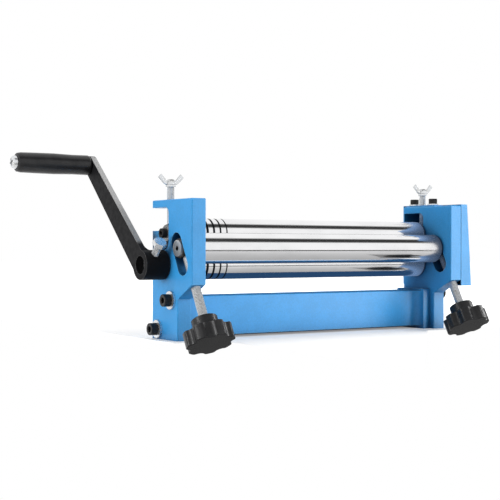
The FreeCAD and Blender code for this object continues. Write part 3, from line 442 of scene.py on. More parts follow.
class Finish:
    """One procedural finish: a shader, and patterns that read Object coordinates."""

    def __init__(self, name, colour, roughness, metallic=0.0, **constants):
        self.material = bpy.data.materials.new(name)
        self.material.use_nodes = True
        self.material.diffuse_color = colour
        self.tree = self.material.node_tree
        self.shader = self.tree.nodes["Principled BSDF"]
        self.shader.inputs["Base Color"].default_value = colour
        self.shader.inputs["Roughness"].default_value = roughness
        self.shader.inputs["Metallic"].default_value = metallic
        for socket, value in constants.items():
            self.shader.inputs[socket.replace("_", " ")].default_value = value
        self.object_place = self.add("ShaderNodeTexCoord").outputs["Object"]

    def add(self, kind, inputs=None, **settings):
        """A new node in this finish."""
        return add_node(self.tree, kind, inputs, **settings)

    def feed(self, socket, output):
        """Link a pattern to one of the shader's sockets."""
        self.tree.links.new(output, self.shader.inputs[socket])

    def mapped(self, scale):
        """Object coordinates stretched by scale, so that a pattern's grain can be longer one way."""
        inputs = {"Vector": self.object_place, "Scale": scale}
        return self.add("ShaderNodeMapping", inputs).outputs["Vector"]

    def noise(self, grain, detail=3.0, roughness=0.55, place=None):
        """Noise whose grain is about the given length."""
        inputs = {
            "Vector": place or self.object_place,
            "Scale": 1.0 / grain,
            "Detail": detail,
            "Roughness": roughness,
        }
        return self.add("ShaderNodeTexNoise", inputs).outputs["Fac"]

    def spread(self, value, low, high, out_low=0.0, out_high=1.0, smooth=True):
        """Map low..high of a value to another range."""
        inputs = {"Value": value, "From Min": low, "From Max": high, "To Min": out_low, "To Max": out_high}
        kind = "SMOOTHSTEP" if smooth else "LINEAR"
        return self.add("ShaderNodeMapRange", inputs, interpolation_type=kind).outputs["Result"]

    def math(self, operation, a, b=0.0):
        """A value worked out from one or two others."""
        return self.add("ShaderNodeMath", {0: a, 1: b}, operation=operation).outputs["Value"]

    def times(self, a, b):
        """One value multiplied by another."""
        return self.math("MULTIPLY", a, b)

    def plus(self, a, b):
        """One value added to another."""
        return self.math("ADD", a, b)

    def vector(self, operation, output, *values):
        """A vector or a value worked out from one or two vectors."""
        inputs = dict(enumerate(values))
        return self.add("ShaderNodeVectorMath", inputs, operation=operation).outputs[output]

    def mix(self, factor, a, b):
        """Colour a where factor is 0 and b where it is 1."""
        return self.add("ShaderNodeMix", {0: factor, 6: a, 7: b}, data_type="RGBA").outputs[2]

    def axes(self):
        """The three Object coordinates."""
        return self.add("ShaderNodeSeparateXYZ", {"Vector": self.object_place}).outputs

    def edges(self, radius, sharp):
        """1 on edges and corners within a radius, 0 on open surfaces.

        A normal rounded within the radius turns away from the true one, and sharp is the cosine between the
        two at which the value is full.
        """
        rounded = self.add("ShaderNodeBevel", {"Radius": radius}, samples=6).outputs["Normal"]
        straight = self.add("ShaderNodeNewGeometry").outputs["Normal"]
        dot = self.vector("DOT_PRODUCT", "Value", rounded, straight)
        return self.spread(dot, 0.999, sharp, smooth=False)

    def corners(self, reach, start=0.85, full=0.25):
        """1 deep in corners and gaps, 0 on open surfaces, by how much is closed in within a reach."""
        openness = self.add("ShaderNodeAmbientOcclusion", {"Distance": reach}, samples=6).outputs["AO"]
        return self.spread(openness, start, full)

    def off_axis(self, point, axis):
        """Distance from a line through a point, with the left rod of a pair mirrored onto the right."""
        x, y, z = self.axes()
        mirrored = {"X": self.math("ABSOLUTE", x), "Y": y, "Z": z}
        place = self.add("ShaderNodeCombineXYZ", mirrored).outputs["Vector"]
        offset = self.vector("SUBTRACT", "Vector", place, point)
        across = self.vector("CROSS_PRODUCT", "Vector", offset, axis)
        return self.vector("LENGTH", "Value", across)

    def bump(self, height, strength, distance, normal=None):
        """Normal of a surface raised by a pattern, on top of another normal where one is given."""
        inputs = {"Height": height, "Strength": strength, "Distance": distance}
        if normal is not None:
            inputs["Normal"] = normal
        return self.add("ShaderNodeBump", inputs).outputs["Normal"]


def scaled(colour, *shares, lift=0.0):
    """A colour made darker or paler by one share, or by a share for each channel."""
    shares = shares if len(shares) == 3 else shares * 3
    return tuple(min(1.0, c * share + lift) for c, share in zip(colour[:3], shares)) + (1.0,)


def apply_finish(finish, *nodes):
    """Give CAD nodes a finish through their objects' own material slots."""
    for name in nodes:
        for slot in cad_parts[name].material_slots:
            slot.link = "OBJECT"
            slot.material = finish


def blue_coat(look):
    """Powder coat: fine orange peel over slow waves, pale specks, a painted highlight on the edges, painted
    shade in corners and slots.
    """
    f = Finish("blue_powder_coat", look.colour, look.roughness, Specular_IOR_Level=0.50)
    fine = f.noise(look.peel, detail=2.0)
    slow = f.noise(22 * MM, detail=2.0)
    speck = f.noise(0.45 * MM, detail=1.0)
    rim = f.edges(0.9 * MM, sharp=0.90)
    base = look.colour
    mottle = f.noise(1.7 * MM, detail=2.0)
    cast = f.plus(f.times(slow, 0.45), f.times(mottle, 0.55))
    tone = f.mix(f.spread(cast, 0.40, 0.60), scaled(base, 0.94), scaled(base, 1.05, lift=0.002))
    speckled = f.mix(f.spread(speck, 0.55, 0.75, 0.0, 0.30), tone, look.speck_and_highlight_colour)
    # Painted highlight: the rounded edges are mixed toward the pale blue.
    edge_highlighted = f.mix(f.times(rim, 0.80), speckled, look.speck_and_highlight_colour)
    # Painted shade: corners are darkened toward a deeper blue, and slots and narrow gaps further toward
    # navy.
    shaded = f.mix(f.times(f.corners(40 * MM), 0.65), edge_highlighted, scaled(base, 0.30))
    slot_shade = f.times(f.corners(24 * MM, 0.62, 0.34), 0.85)
    f.feed("Base Color", f.mix(slot_shade, shaded, scaled(base, 0.12, 0.13, 0.19)))
    f.feed("Roughness", f.spread(fine, 0.3, 0.7, look.roughness - 0.05, look.roughness + 0.07))
    waves = f.bump(slow, 0.10, 0.6 * MM)
    f.feed("Normal", f.bump(fine, 0.16, 0.10 * MM, waves))
    return f.material


def roll_steel(look, axis, grooved):
    """Ground rolls: faint rings, haze that grows to the gear end, a painted shadow ring there, black wire
    grooves, drilled ends with painted shade in the hole.
    """
    f = Finish("polished_roll_steel", look.roll_colour, look.roll_roughness, metallic=1.0)
    rings = f.noise(1.0 * MM, detail=3.0, place=f.mapped((3.0, 0.02, 0.02)))
    haze = f.noise(18 * MM, detail=3.0, place=f.mapped((0.4, 1.0, 1.0)))
    base = look.roll_colour
    colour = f.mix(f.spread(haze, 0.35, 0.7), base, scaled(base, 0.93))
    rough = f.spread(haze, 0.3, 0.75, look.roll_roughness - 0.03, look.roll_roughness + 0.05)
    x, y, z = f.axes()
    across = f.math("SUBTRACT", y, axis[0])
    up = f.math("SUBTRACT", z, axis[1])
    reach = f.math("SQRT", f.plus(f.times(across, across), f.times(up, up)))
    if grooved:
        past_start = f.math("GREATER_THAN", x, GROOVES_START)
        in_row = f.times(past_start, f.math("LESS_THAN", x, GROOVES_END))
        cut = f.times(f.spread(reach, ROLL_RADIUS - 0.05 * MM, ROLL_RADIUS - 0.30 * MM), in_row)
        colour = f.mix(cut, colour, (0.03, 0.03, 0.032, 1.0))
        rough = f.plus(rough, f.times(cut, 0.35))
    rough = f.plus(rough, f.times(f.spread(x, HAZE_START, HAZE_FULL), 0.17))
    # Painted shadow: a dark ring where the barrel meets the frame at the gear end.
    ring = f.times(f.spread(x, END_SHADOW_RING - 0.4 * MM, END_SHADOW_RING + 0.6 * MM), 0.85)
    colour = f.mix(ring, colour, (0.05, 0.06, 0.08, 1.0))
    turned_end = f.spread(f.math("ABSOLUTE", x), BARREL_END - 0.1 * MM, BARREL_END + 0.1 * MM)
    facing = f.noise(0.5 * MM, detail=2.0)
    end_tone = f.mix(facing, (0.78, 0.78, 0.77, 1.0), (0.95, 0.95, 0.94, 1.0))
    # Painted shade: the bottom of the drilled centre hole is near black.
    in_hole = f.spread(reach, CENTRE_HOLE + 0.3 * MM, CENTRE_HOLE - 0.3 * MM)
    drilled = f.mix(in_hole, end_tone, (0.02, 0.02, 0.022, 1.0))
    f.feed("Base Color", f.mix(turned_end, colour, drilled))
    f.feed("Roughness", f.plus(rough, f.times(turned_end, 0.28)))
    f.feed("Normal", f.bump(rings, 0.04, 0.02 * MM))
    return f.material


def zinc(look, rod=None):
    """Zinc plate: spangled tone, warm stains, and painted shade that greys the edges.

    rod is a threaded rod's point, direction and radius: its grooves get painted shade, and only what is
    wider than the rod gets the painted edge shade.
    """
    f = Finish("zinc_plate", look.zinc_colour, 0.30, metallic=0.85)
    spangle = f.noise(1.6 * MM, detail=3.0)
    stain = f.noise(7 * MM, detail=2.0)
    base = look.zinc_colour
    rim = f.times(f.edges(0.55 * MM, sharp=0.90), 0.90)
    rough = f.spread(spangle, 0.3, 0.7, 0.20, 0.30)
    tone = f.mix(f.spread(spangle, 0.35, 0.65), base, scaled(base, 1.12))
    warm = scaled(base, 0.86, 0.83, 0.76)
    stained = f.mix(f.spread(stain, 0.52, 0.75, 0.0, 0.7), tone, warm)
    if rod is not None:
        point, axis, radius = rod
        reach = f.off_axis(point, axis)
        past_rod = f.spread(reach, radius + 0.15 * MM, radius + 0.45 * MM)
        rim = f.times(rim, past_rod)
        rough = f.plus(rough, f.spread(past_rod, 0.0, 1.0, 0.06, 0.0))
        # Painted shade: the thread grooves are darkened.
        groove = f.times(f.spread(reach, radius - 0.10 * MM, radius - 0.45 * MM), 0.45)
        stained = f.mix(groove, stained, (0.13, 0.125, 0.115, 1.0))
    # Painted shade: the edges are darkened to grey.
    f.feed("Base Color", f.mix(rim, stained, (0.12, 0.12, 0.125, 1.0)))
    f.feed("Roughness", rough)
    f.feed("Normal", f.bump(spangle, 0.05, 0.03 * MM))
    return f.material


def black_iron(look):
    """Black enamel on a sand casting, with a painted highlight along the arm's upper side and grey wear on
    every edge.
    """
    f = Finish("black_cast_iron", look.iron_colour, 0.48, Specular_IOR_Level=0.06)
    sand = f.noise(0.8 * MM, detail=4.0, roughness=0.6)
    lumps = f.noise(6 * MM, detail=2.0)
    x, y, z = f.axes()
    across = f.math("SUBTRACT", y, LOWER_AXIS[0])
    up = f.math("SUBTRACT", z, LOWER_AXIS[1])
    sine, cosine = math.sin(ARM_ANGLE), math.cos(ARM_ANGLE)
    out = f.plus(f.times(across, cosine), f.times(up, sine))
    side = f.math("SUBTRACT", f.times(up, cosine), f.times(across, sine))
    taper = (TIP_REACH - HUB_REACH) / ARM_LENGTH
    flank = f.plus(f.times(out, taper), HUB_REACH)
    on_flank = f.spread(f.math("SUBTRACT", side, flank), -0.5 * MM, -0.15 * MM)
    past_hub = f.spread(out, LIT_FLANK_START, LIT_FLANK_FULL)
    # Painted highlight: grey on the arm's upper flank past the hub, where light falls.
    painted_highlight = f.times(f.times(on_flank, past_hub), f.spread(sand, 0.30, 0.62, 0.50, 1.0))
    edge = f.times(f.edges(0.6 * MM, sharp=0.88), f.spread(lumps, 0.35, 0.65, 0.25, 0.85))
    # Grey where the painted flank highlight or the edge wear is.
    bare = f.math("MAXIMUM", painted_highlight, f.times(edge, 0.5))
    f.feed("Base Color", f.mix(bare, look.iron_colour, (0.46, 0.46, 0.46, 1.0)))
    f.feed("Roughness", f.spread(lumps, 0.3, 0.7, 0.42, 0.58))
    f.feed("Normal", f.bump(sand, 0.30, 0.12 * MM, f.bump(lumps, 0.15, 0.6 * MM)))
    return f.material


def black_oxide():
    """Blackened screws and bushes: oily black, bare steel just showing on the edges."""
    f = Finish("black_oxide", (0.014, 0.014, 0.015, 1.0), 0.36, Specular_IOR_Level=0.3)
    mottle = f.noise(2.0 * MM, detail=3.0)
    rim = f.edges(0.35 * MM, sharp=0.80)
    base = f.mix(f.spread(mottle, 0.35, 0.7), (0.010, 0.010, 0.011, 1.0), (0.022, 0.021, 0.020, 1.0))
    f.feed("Base Color", f.mix(f.times(rim, 0.6), base, (0.20, 0.17, 0.14, 1.0)))
    f.feed("Roughness", f.spread(mottle, 0.3, 0.7, 0.30, 0.44))
    f.feed("Normal", f.bump(mottle, 0.06, 0.05 * MM))
    return f.material


def cut_steel():
    """Machined gear steel under a film of grease."""
    f = Finish("machined_gear_steel", (0.30, 0.30, 0.31, 1.0), 0.34, metallic=1.0)
    marks = f.noise(0.6 * MM, detail=3.0, place=f.mapped((0.2, 1.0, 1.0)))
    film = f.noise(5 * MM, detail=2.0)
    steel, grease = (0.34, 0.34, 0.35, 1.0), (0.16, 0.13, 0.09, 1.0)
    f.feed("Base Color", f.mix(f.spread(film, 0.4, 0.7), steel, grease))
    f.feed("Roughness", f.spread(marks, 0.3, 0.7, 0.26, 0.42))
    f.feed("Normal", f.bump(marks, 0.12, 0.04 * MM))
    return f.material


def black_plastic():
    """Moulded black plastic: spark-eroded grain, shinier with a painted highlight on the edges, duller with
    painted shade in the gaps.
    """
    f = Finish("black_moulded_plastic", (0.013, 0.013, 0.014, 1.0), 0.34, Specular_IOR_Level=0.34)
    grain = f.noise(0.5 * MM, detail=2.0)
    flow = f.noise(12 * MM, detail=2.0)
    rim = f.edges(0.8 * MM, sharp=0.88)
    base = f.mix(f.spread(flow, 0.35, 0.65), (0.011, 0.011, 0.012, 1.0), (0.018, 0.018, 0.019, 1.0))
    gap_shade = f.corners(16 * MM, 0.80, 0.35)
    satin = f.math("SUBTRACT", f.spread(grain, 0.3, 0.7, 0.24, 0.34), f.times(rim, 0.06))
    # Painted highlight: the edges are lightened to grey.
    painted_highlight = f.mix(f.times(rim, 0.25), base, (0.06, 0.06, 0.062, 1.0))
    # Painted shade: corners and gaps are darkened to near black, and made duller.
    f.feed("Base Color", f.mix(gap_shade, painted_highlight, (0.004, 0.004, 0.0045, 1.0)))
    f.feed("Roughness", f.plus(satin, f.times(gap_shade, 0.40)))
    f.feed("Normal", f.bump(grain, 0.14, 0.05 * MM))
    return f.material


# ---------------------------------------------------------------- operators


class SLIPROLL_OT_paint(bpy.types.Operator):
    """Powder coat the two frames, the base beam and the gear cover"""

    bl_idname = "sliproll.paint"
    bl_label = "Paint the castings"

    def execute(self, context):
        coat = blue_coat(context.scene.sliproll_paint)
        apply_finish(coat, *CASTINGS)
        return {"FINISHED"}


class SLIPROLL_OT_rolls(bpy.types.Operator):
    """Polish the three rolls and blacken the wire grooves"""

    bl_idname = "sliproll.rolls"
    bl_label = "Polish the rolls"

    def execute(self, context):
        metal = context.scene.sliproll_metal
        apply_finish(roll_steel(metal, LOWER_AXIS, True), "lower_roll")
        apply_finish(roll_steel(metal, UPPER_AXIS, True), "upper_roll")
        apply_finish(roll_steel(metal, FRONT_AXIS, False), "front_roll")
        return {"FINISHED"}


class SLIPROLL_OT_bearings(bpy.types.Operator):
    """Finish the bushes, bearing blocks, gears, keys and washers"""

    bl_idname = "sliproll.bearings"
    bl_label = "Finish the bearings and gears"

    def execute(self, context):
        parts = ("lower_bush", "upper_bearing", "front_bush")
        blocks = [f"{side}_{part}" for side in ("left", "right") for part in parts]
        apply_finish(black_oxide(), *blocks)
        apply_finish(cut_steel(), "lower_gear", "upper_gear", "lower_gear_key", "upper_gear_key")
        plate = zinc(context.scene.sliproll_metal)
        apply_finish(plate, "base_washers", "cover_washers", "upper_roll_washer")
        return {"FINISHED"}


class SLIPROLL_OT_socket_screws(bpy.types.Operator):
    """Knurl the socket screws of the base, the gear cover and the upper roll's end"""

    bl_idname = "sliproll.socket_screws"
    bl_label = "Knurl the socket screws"

    def execute(self, context):
        cut = context.scene.sliproll_turning
        finish = black_oxide()
        ribs, knurl = cut.knurl_ribs, cut.knurl_depth
        bolt = socket_screw(*BASE_BOLT, ribs, knurl)
        shells = [
            shell(set_on(bolt, (side * BASE_BOLT_SEAT, y, z), (side, 0, 0)))
            for side in (-1, 1)
            for y, z in BASE_BOLT_SPOTS
        ]
        piece("knurled_base_bolts", shells, "machine_frame", ["base_bolts"], finish)
        ribs, knurl = ribs - SMALL_RIBS_FEWER, knurl * SMALL_KNURL_SHARE
        small = socket_screw(*COVER_SCREW, ribs, knurl)
        shells = [
            shell(set_on(small, (FRAME_MIDDLE, y, COVER_SCREW_SEAT), (0, 0, 1), (1, 0, 0)))
            for y in COVER_SCREW_SPOTS
        ]
        piece("knurled_cover_screws", shells, "machine_frame", ["cover_screws"], finish)
        end = socket_screw(*END_SCREW, ribs, knurl)
        shells = [shell(set_on(end, (END_SCREW_SEAT, *UPPER_AXIS), (-1, 0, 0)))]
        piece("knurled_end_screw", shells, "pinch_roll", ["upper_roll_screw"], finish)
        return {"FINISHED"}


def wing_blade(sign, columns=28, rows=44):
    """One wing as a closed skin: a flattened round section carried from the hub along a bent path.

    The path is half the sum of a line along t and of a hyperbola branch, the root of t squared plus a
    small square, so that it runs straight from the hub, turns at the bend and runs straight to the tip. The
    section is a superellipse, wide across the path and thin along Y, that closes over the path's last part.
    All lengths are in millimetres up to the last line.
    """
    hub, bend, tip = np.array([1.0, 2.2]), np.array([6.4, 2.3]), np.array([13.6, 10.2])
    t = np.linspace(-1.0, 1.0, rows)[:, None]
    before, after, turn = bend - hub, tip - bend, 0.22
    root = np.sqrt(t ** 2 + turn ** 2)
    path = bend + 0.5 * (t * (before + after) + (root - turn) * (after - before))
    slope = 0.5 * ((before + after) + t / root * (after - before))
    slope /= np.linalg.norm(slope, axis=1, keepdims=True)
    side = np.stack([-slope[:, 1], slope[:, 0]], axis=-1)
    closing = np.clip((t - 0.90) / 0.10, 0.0, 1.0)
    end = np.maximum(np.sqrt(1 - closing ** 4), 0.02)
    half_wide = (2.35 + 0.25 * t) * end
    half_thick = (1.2 - 0.1 * t) * end
    angle = around(columns)[None, :]
    bulge = 0.42
    wide = half_wide * np.sign(np.cos(angle)) * np.abs(np.cos(angle)) ** bulge
    thick = half_thick * np.sign(np.sin(angle)) * np.abs(np.sin(angle)) ** bulge
    x = path[:, :1] + wide * side[:, :1]
    z = path[:, 1:] + wide * side[:, 1:]
    return np.stack([sign * x, thick, z], axis=-1) * MM


def wing_screw(pitch, rows_per_pitch):
    """Threaded rod, collar and hub of a wing screw as one closed skin about Z, at the screw's height.

    The rod's rows come first, and above them a round ring for each point of the hub's profile.
    """
    along, radius = threaded(WING_ROD_LOW, WING_COLLAR, WING_ROD_RADIUS, pitch, rows_per_pitch)
    profile = np.array(WING_PROFILE) * MM
    rings = profile[:, 1:] * np.ones((1, ROD_COLUMNS))
    heights = np.concatenate([along, WING_COLLAR + profile[:, 0]])
    return turned(heights, np.concatenate([radius, rings]))


class SLIPROLL_OT_wing_screws(bpy.types.Operator):
    """Cut the wing screws' threads and form their bent wings"""

    bl_idname = "sliproll.wing_screws"
    bl_label = "Form the wing screws"

    def execute(self, context):
        cut = context.scene.sliproll_turning
        rod = ((FRAME_MIDDLE, REAR_Y, 0.0), (0.0, 0.0, 1.0), WING_ROD_RADIUS)
        finish = zinc(context.scene.sliproll_metal, rod)
        stem = wing_screw(cut.wing_pitch, cut.rows_per_pitch)
        blades = [wing_blade(hand) + np.array([0.0, 0.0, WING_HUB]) for hand in (-1, 1)]
        for side, sign in (("left", -1), ("right", 1)):
            place = np.array([sign * FRAME_MIDDLE, REAR_Y, 0.0])
            shells = [shell(points + place) for points in (stem, *blades)]
            name = side + "_wing_screw"
            piece(name + "_formed", shells, side + "_wing", [name], finish)
        return {"FINISHED"}


class SLIPROLL_OT_adjusters(bpy.types.Operator):
    """Cut the adjusting screws' threads"""

    bl_idname = "sliproll.adjusters"
    bl_label = "Thread the adjusting screws"

    def execute(self, context):
        cut = context.scene.sliproll_turning
        pitch, rows = cut.adjuster_pitch, cut.rows_per_pitch
        rod = ((FRAME_MIDDLE, *FRONT_AXIS), tuple(unit_slot()), ADJUSTER_RADIUS)
        finish = zinc(context.scene.sliproll_metal, rod)
        for side, sign, reach in ADJUSTER_REACH:
            along, radius = threaded(-reach, -ADJUSTER_TOP, ADJUSTER_RADIUS, pitch, rows)
            place = (sign * FRAME_MIDDLE, *FRONT_AXIS)
            shells = [shell(set_on(turned(along, radius), place, unit_slot(), (1, 0, 0)))]
            name, nodes = side + "_adjuster_thread", [side + "_adjusting_screw"]
            piece(name, shells, side + "_adjuster", nodes, finish)
        return {"FINISHED"}


class SLIPROLL_OT_knobs(bpy.types.Operator):
    """Grain the star knobs"""

    bl_idname = "sliproll.knobs"
    bl_label = "Finish the star knobs"

    def execute(self, context):
        apply_finish(black_plastic(), *KNOBS)
        return {"FINISHED"}


def hex_bolt(flats, head, seat, start, radius, pitch, rows_per_pitch):
    """Hex bolt about Z as one closed skin: a threaded shank, a washer face, and a six-sided head.

    The head's radius at each height and angle is the hexagon's or the cutting radius, whichever is less.
    """
    along, shank = threaded(start, seat, radius, pitch, rows_per_pitch, SET_BOLT_COLUMNS)
    six = hexagon_radius(SET_BOLT_COLUMNS, flats)
    up, cut = np.array(HEX_HEAD).T
    heights = seat + up * (head / up[-1])
    sides = np.minimum(six[None, :], cut[:, None] * flats / math.sqrt(3))
    return turned(np.concatenate([along, heights]), np.concatenate([shank, sides]))


class SLIPROLL_OT_crank(bpy.types.Operator):
    """Finish the cast crank, its grip and screws"""

    bl_idname = "sliproll.crank"
    bl_label = "Finish the crank"

    def execute(self, context):
        scene = context.scene
        metal, cut = scene.sliproll_metal, scene.sliproll_turning
        apply_finish(black_iron(metal), "crank_arm")
        apply_finish(black_plastic(), "handle_grip")
        plate = zinc(metal)
        apply_finish(plate, "handle_screw")
        bolt = hex_bolt(*SET_BOLT, cut.wing_pitch, cut.rows_per_pitch)
        upright = (0.0, -math.sin(ARM_ANGLE), math.cos(ARM_ANGLE))
        shells = [shell(set_on(bolt, (SET_BOLT_X, *LOWER_AXIS), upright, (1, 0, 0)))]
        name, nodes = "threaded_set_bolt", ["crank_set_bolt"]
        piece(name, shells, "drive_roll", nodes, plate, smooth_deg=25.0)
        return {"FINISHED"}


def sheet(name, corners, material):
    """A flat sheet of the stage, by its corners in turn."""
    mesh = bpy.data.meshes.new(name)
    mesh.from_pydata(corners, [], [tuple(range(len(corners)))])
    made = bpy.data.objects.new(name, mesh)
    bpy.context.scene.collection.objects.link(made)
    mesh.materials.append(material)
    return made


def sheet_card(name, corner, along, across, material):
    """A flat card from one corner along two sides."""
    a, u, v = Vector(corner), Vector(along), Vector(across)
    return sheet(name, [a, a + u, a + u + v, a + v], material)


def bare_material(name):
    """A material with an empty node tree."""
    material = bpy.data.materials.new(name)
    material.use_nodes = True
    material.node_tree.nodes.clear()
    return material, material.node_tree


def glow(name, tones, tint=(1.0, 1.0, 1.0), axis="Y"):
    """Light of a card, with tones as (place along an axis, strength) pairs in rising order of place."""
    material, tree = bare_material(name)
    first, last = tones[0][0], tones[-1][0]
    place = add_node(tree, "ShaderNodeTexCoord").outputs["Object"]
    split = add_node(tree, "ShaderNodeSeparateXYZ", {"Vector": place})
    reach = {"Value": split.outputs[axis], "From Min": first, "From Max": last}
    share = add_node(tree, "ShaderNodeMapRange", reach).outputs["Result"]
    ramp = add_node(tree, "ShaderNodeValToRGB", {"Fac": share})
    stops = ramp.color_ramp.elements
    for extra in range(len(tones) - 2):
        stops.new(0.5)
    for stop, (where, tone) in zip(stops, tones):
        stop.position = (where - first) / (last - first)
        stop.color = (*(tone * channel for channel in tint), 1.0)
    light = add_node(tree, "ShaderNodeEmission", {"Color": ramp.outputs["Color"]})
    add_node(tree, "ShaderNodeOutputMaterial", {"Surface": light.outputs["Emission"]})
    return material


def only_reflected(card):
    """Seen in polished metal, and in nothing else."""
    card.visible_camera = card.visible_diffuse = card.visible_shadow = False
    card.visible_transmission = card.visible_volume_scatter = False


def shown_rays(tree):
    """1 for rays that show the background: camera, glossy and transmission."""
    rays = add_node(tree, "ShaderNodeLightPath").outputs
    shown = rays["Is Camera Ray"]
    for name in ("Is Glossy Ray", "Is Transmission Ray"):
        either = add_node(tree, "ShaderNodeMath", {0: shown, 1: rays[name]}, operation="MAXIMUM")
        shown = either.outputs["Value"]
    return shown


def pale_world(fill):
    """White where it is seen, and an even fill light elsewhere."""
    world = bpy.data.worlds.new("studio_white")
    world.use_nodes = True
    tree = world.node_tree
    tree.nodes.clear()
    even, seen = (
        add_node(tree, "ShaderNodeBackground", {"Color": (1.0, 1.0, 1.0, 1.0), "Strength": strength})
        for strength in (fill, 1.0)
    )
    shares = {0: shown_rays(tree), 1: even.outputs[0], 2: seen.outputs[0]}
    join = add_node(tree, "ShaderNodeMixShader", shares)
    add_node(tree, "ShaderNodeOutputWorld", {"Surface": join.outputs[0]})
    bpy.context.scene.world = world


def board_material(white):
    """Pale board that keeps shadows, lifted to white where it is seen."""
    material, tree = bare_material("bench_board_white")
    place = add_node(tree, "ShaderNodeTexCoord").outputs["Object"]
    length = add_node(tree, "ShaderNodeVectorMath", {0: place}, operation="LENGTH").outputs["Value"]
    x = add_node(tree, "ShaderNodeSeparateXYZ", {"Vector": place}).outputs["X"]
    farther, edge = (
        add_node(tree, "ShaderNodeMapRange", {"Value": value, **reach}, interpolation_type="SMOOTHSTEP")
        for value, reach in ((length, BOARD_LIFT), (x, BOARD_EDGE))
    )
    either = {0: farther.outputs["Result"], 1: edge.outputs["Result"]}
    higher = add_node(tree, "ShaderNodeMath", either, operation="MAXIMUM").outputs["Value"]
    seen = add_node(tree, "ShaderNodeMath", {0: shown_rays(tree), 1: higher}, operation="MULTIPLY")
    lift = add_node(tree, "ShaderNodeEmission", {"Strength": seen.outputs["Value"]})
    matt = add_node(tree, "ShaderNodeBsdfDiffuse", {"Color": (white, white, white, 1.0)})
    total = add_node(tree, "ShaderNodeAddShader", {0: matt.outputs[0], 1: lift.outputs[0]})
    add_node(tree, "ShaderNodeOutputMaterial", {"Surface": total.outputs[0]})
    return material


def softbox(name, place, aim, width, height, power):
    """An area lamp that polished metal doesn't show, because the cards give it its reflections."""
    lamp = bpy.data.lights.new(name, "AREA")
    lamp.shape = "RECTANGLE"
    lamp.size, lamp.size_y, lamp.energy = width, height, power
    made = bpy.data.objects.new(name, lamp)
    bpy.context.scene.collection.objects.link(made)
    made.location = place
    made.rotation_euler = (Vector(aim) - Vector(place)).to_track_quat("-Z", "Y").to_euler()
    made.visible_glossy = False
    return made


def sheen_lamp(name, place, aim, width, height, power, nodes):
    """A lamp that only some nodes reflect, and that adds nothing to their colour."""
    lamp = softbox(name, place, aim, width, height, power)
    lamp.visible_glossy, lamp.visible_diffuse = True, False
    shiny = bpy.data.collections.new(name + "_nodes")
    for node in nodes:
        shiny.objects.link(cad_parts[node])
    lamp.light_linking.receiver_collection = shiny


# Width of the camera's frame in millimetres.
SENSOR_WIDTH = 36.0
# Corners of the bench board: it stops short of the swinging crank and of the two star knobs, and a wedge of
# it reaches forward between the knobs.
BOARD_OUTLINE = (
    (-0.2035, -0.0441),
    (-0.140, -0.0441),
    (-0.140, -0.350),
    (0.140, -0.0441),
    (4.8, -0.0441),
    (4.8, 5.96),
    (-0.2035, 5.96),
)
# Softboxes: place, what they aim at, width, height and the setting that holds their power.
SOFTBOXES = {
    "key_softbox": ((1.45, -1.65, 0.80), (0.0, 0.0, 0.08), 1.3, 1.1, "key_power"),
    "side_softbox": ((-1.05, 0.02, 0.10), (-0.17, 0.0, 0.08), 0.4, 0.4, "side_power"),
    "top_softbox": ((0.0, 0.3, 1.9), (0.0, 0.0, 0.1), 1.6, 1.2, "top_power"),
    "back_softbox": ((0.3, 1.7, 1.0), (0.0, 0.0, 0.1), 1.4, 0.8, "back_power"),
}
# The lamp that only the paint reflects, and the two strips beside each knob: place, aim, width and height,
# with the strips' places and aim counted from the knob's place along X.
PAINT_SHEEN = ((1.20, -1.27, 0.10), (0.05, 0.0, 0.10), 0.66, 1.4)
KNOB_STRIPS = {"_strip": (-1.10, 0.05, 0.49), "_rim": (1.00, -0.22, 0.62)}
KNOB_AIM = (0.0, -0.07, 0.0)
STRIP_SIZE = (0.14, 0.9)
# Level cards that only polished metal shows: where all start along X and how long they are, then each one's
# height and its tones, as (place along Y, strength) from near to far.
CARD_START = -1.0
CARD_LENGTH = 4.6
REFLECTED = {
    "reflected_gap": (
        0.92, ((-0.90, 0.90), (-0.71, 0.12), (-0.55, 0.04), (-0.28, 0.04), (-0.19, 0.30), (-0.11, 0.90)),
    ),
    "reflected_line": (0.002, ((-0.47, 0.90), (-0.42, 0.10), (-0.30, 0.10), (-0.25, 0.84))),
    "reflected_under": (-0.0117, ((-0.16, 0.35), (-0.10, 0.25), (-0.0445, 0.25))),
}
# The card at bench height is cut away over each knob, whose face would otherwise show two levels.
GROUND_HEIGHT = 0.001
GROUND_TONES = ((-0.28, 0.84), (-0.06, 0.50), (-0.022, 0.44))
GROUND_OUTLINE = (
    (-1.0, -0.28),
    (3.6, -0.28),
    (3.6, -0.022),
    (0.205, -0.022),
    (0.205, -0.115),
    (0.142, -0.115),
    (0.142, -0.022),
    (-0.142, -0.022),
    (-0.142, -0.115),
    (-0.205, -0.115),
    (-0.205, -0.022),
    (-1.0, -0.022),
)
# Cards that stand for the blue castings in the rolls' reflections: one corner and two sides, tones, tint.
# The beam's card lies over it. The right frame's stands at the gear end, with its tones along Z.
BEAM_CARD = ((-0.164, -0.0195, 0.0474), (0.328, 0.0, 0.0), (0.0, 0.046, 0.0))
BEAM_TONES = ((-0.056, 0.16), (0.0265, 0.16))
BEAM_TINT = (0.14, 0.42, 1.0)
PLATE_CARD = ((0.1646, -0.055, 0.048), (0.0, 0.081, 0.0), (0.0, 0.0, 0.095))
PLATE_TONES = ((0.048, 0.60), (0.066, 0.22), (0.082, 0.12), (0.112, 0.12), (0.126, 0.24), (0.143, 0.70))
PLATE_TINT = (0.33, 0.56, 1.0)
# The board's own light grows with the distance from the machine, and over its edge beside the crank.
BOARD_LIFT = {"From Min": 0.15, "From Max": 0.9, "To Min": 0.25, "To Max": 0.95}
BOARD_EDGE = {"From Min": -0.184, "From Max": -0.2035, "To Min": 0.0, "To Max": 1.0}


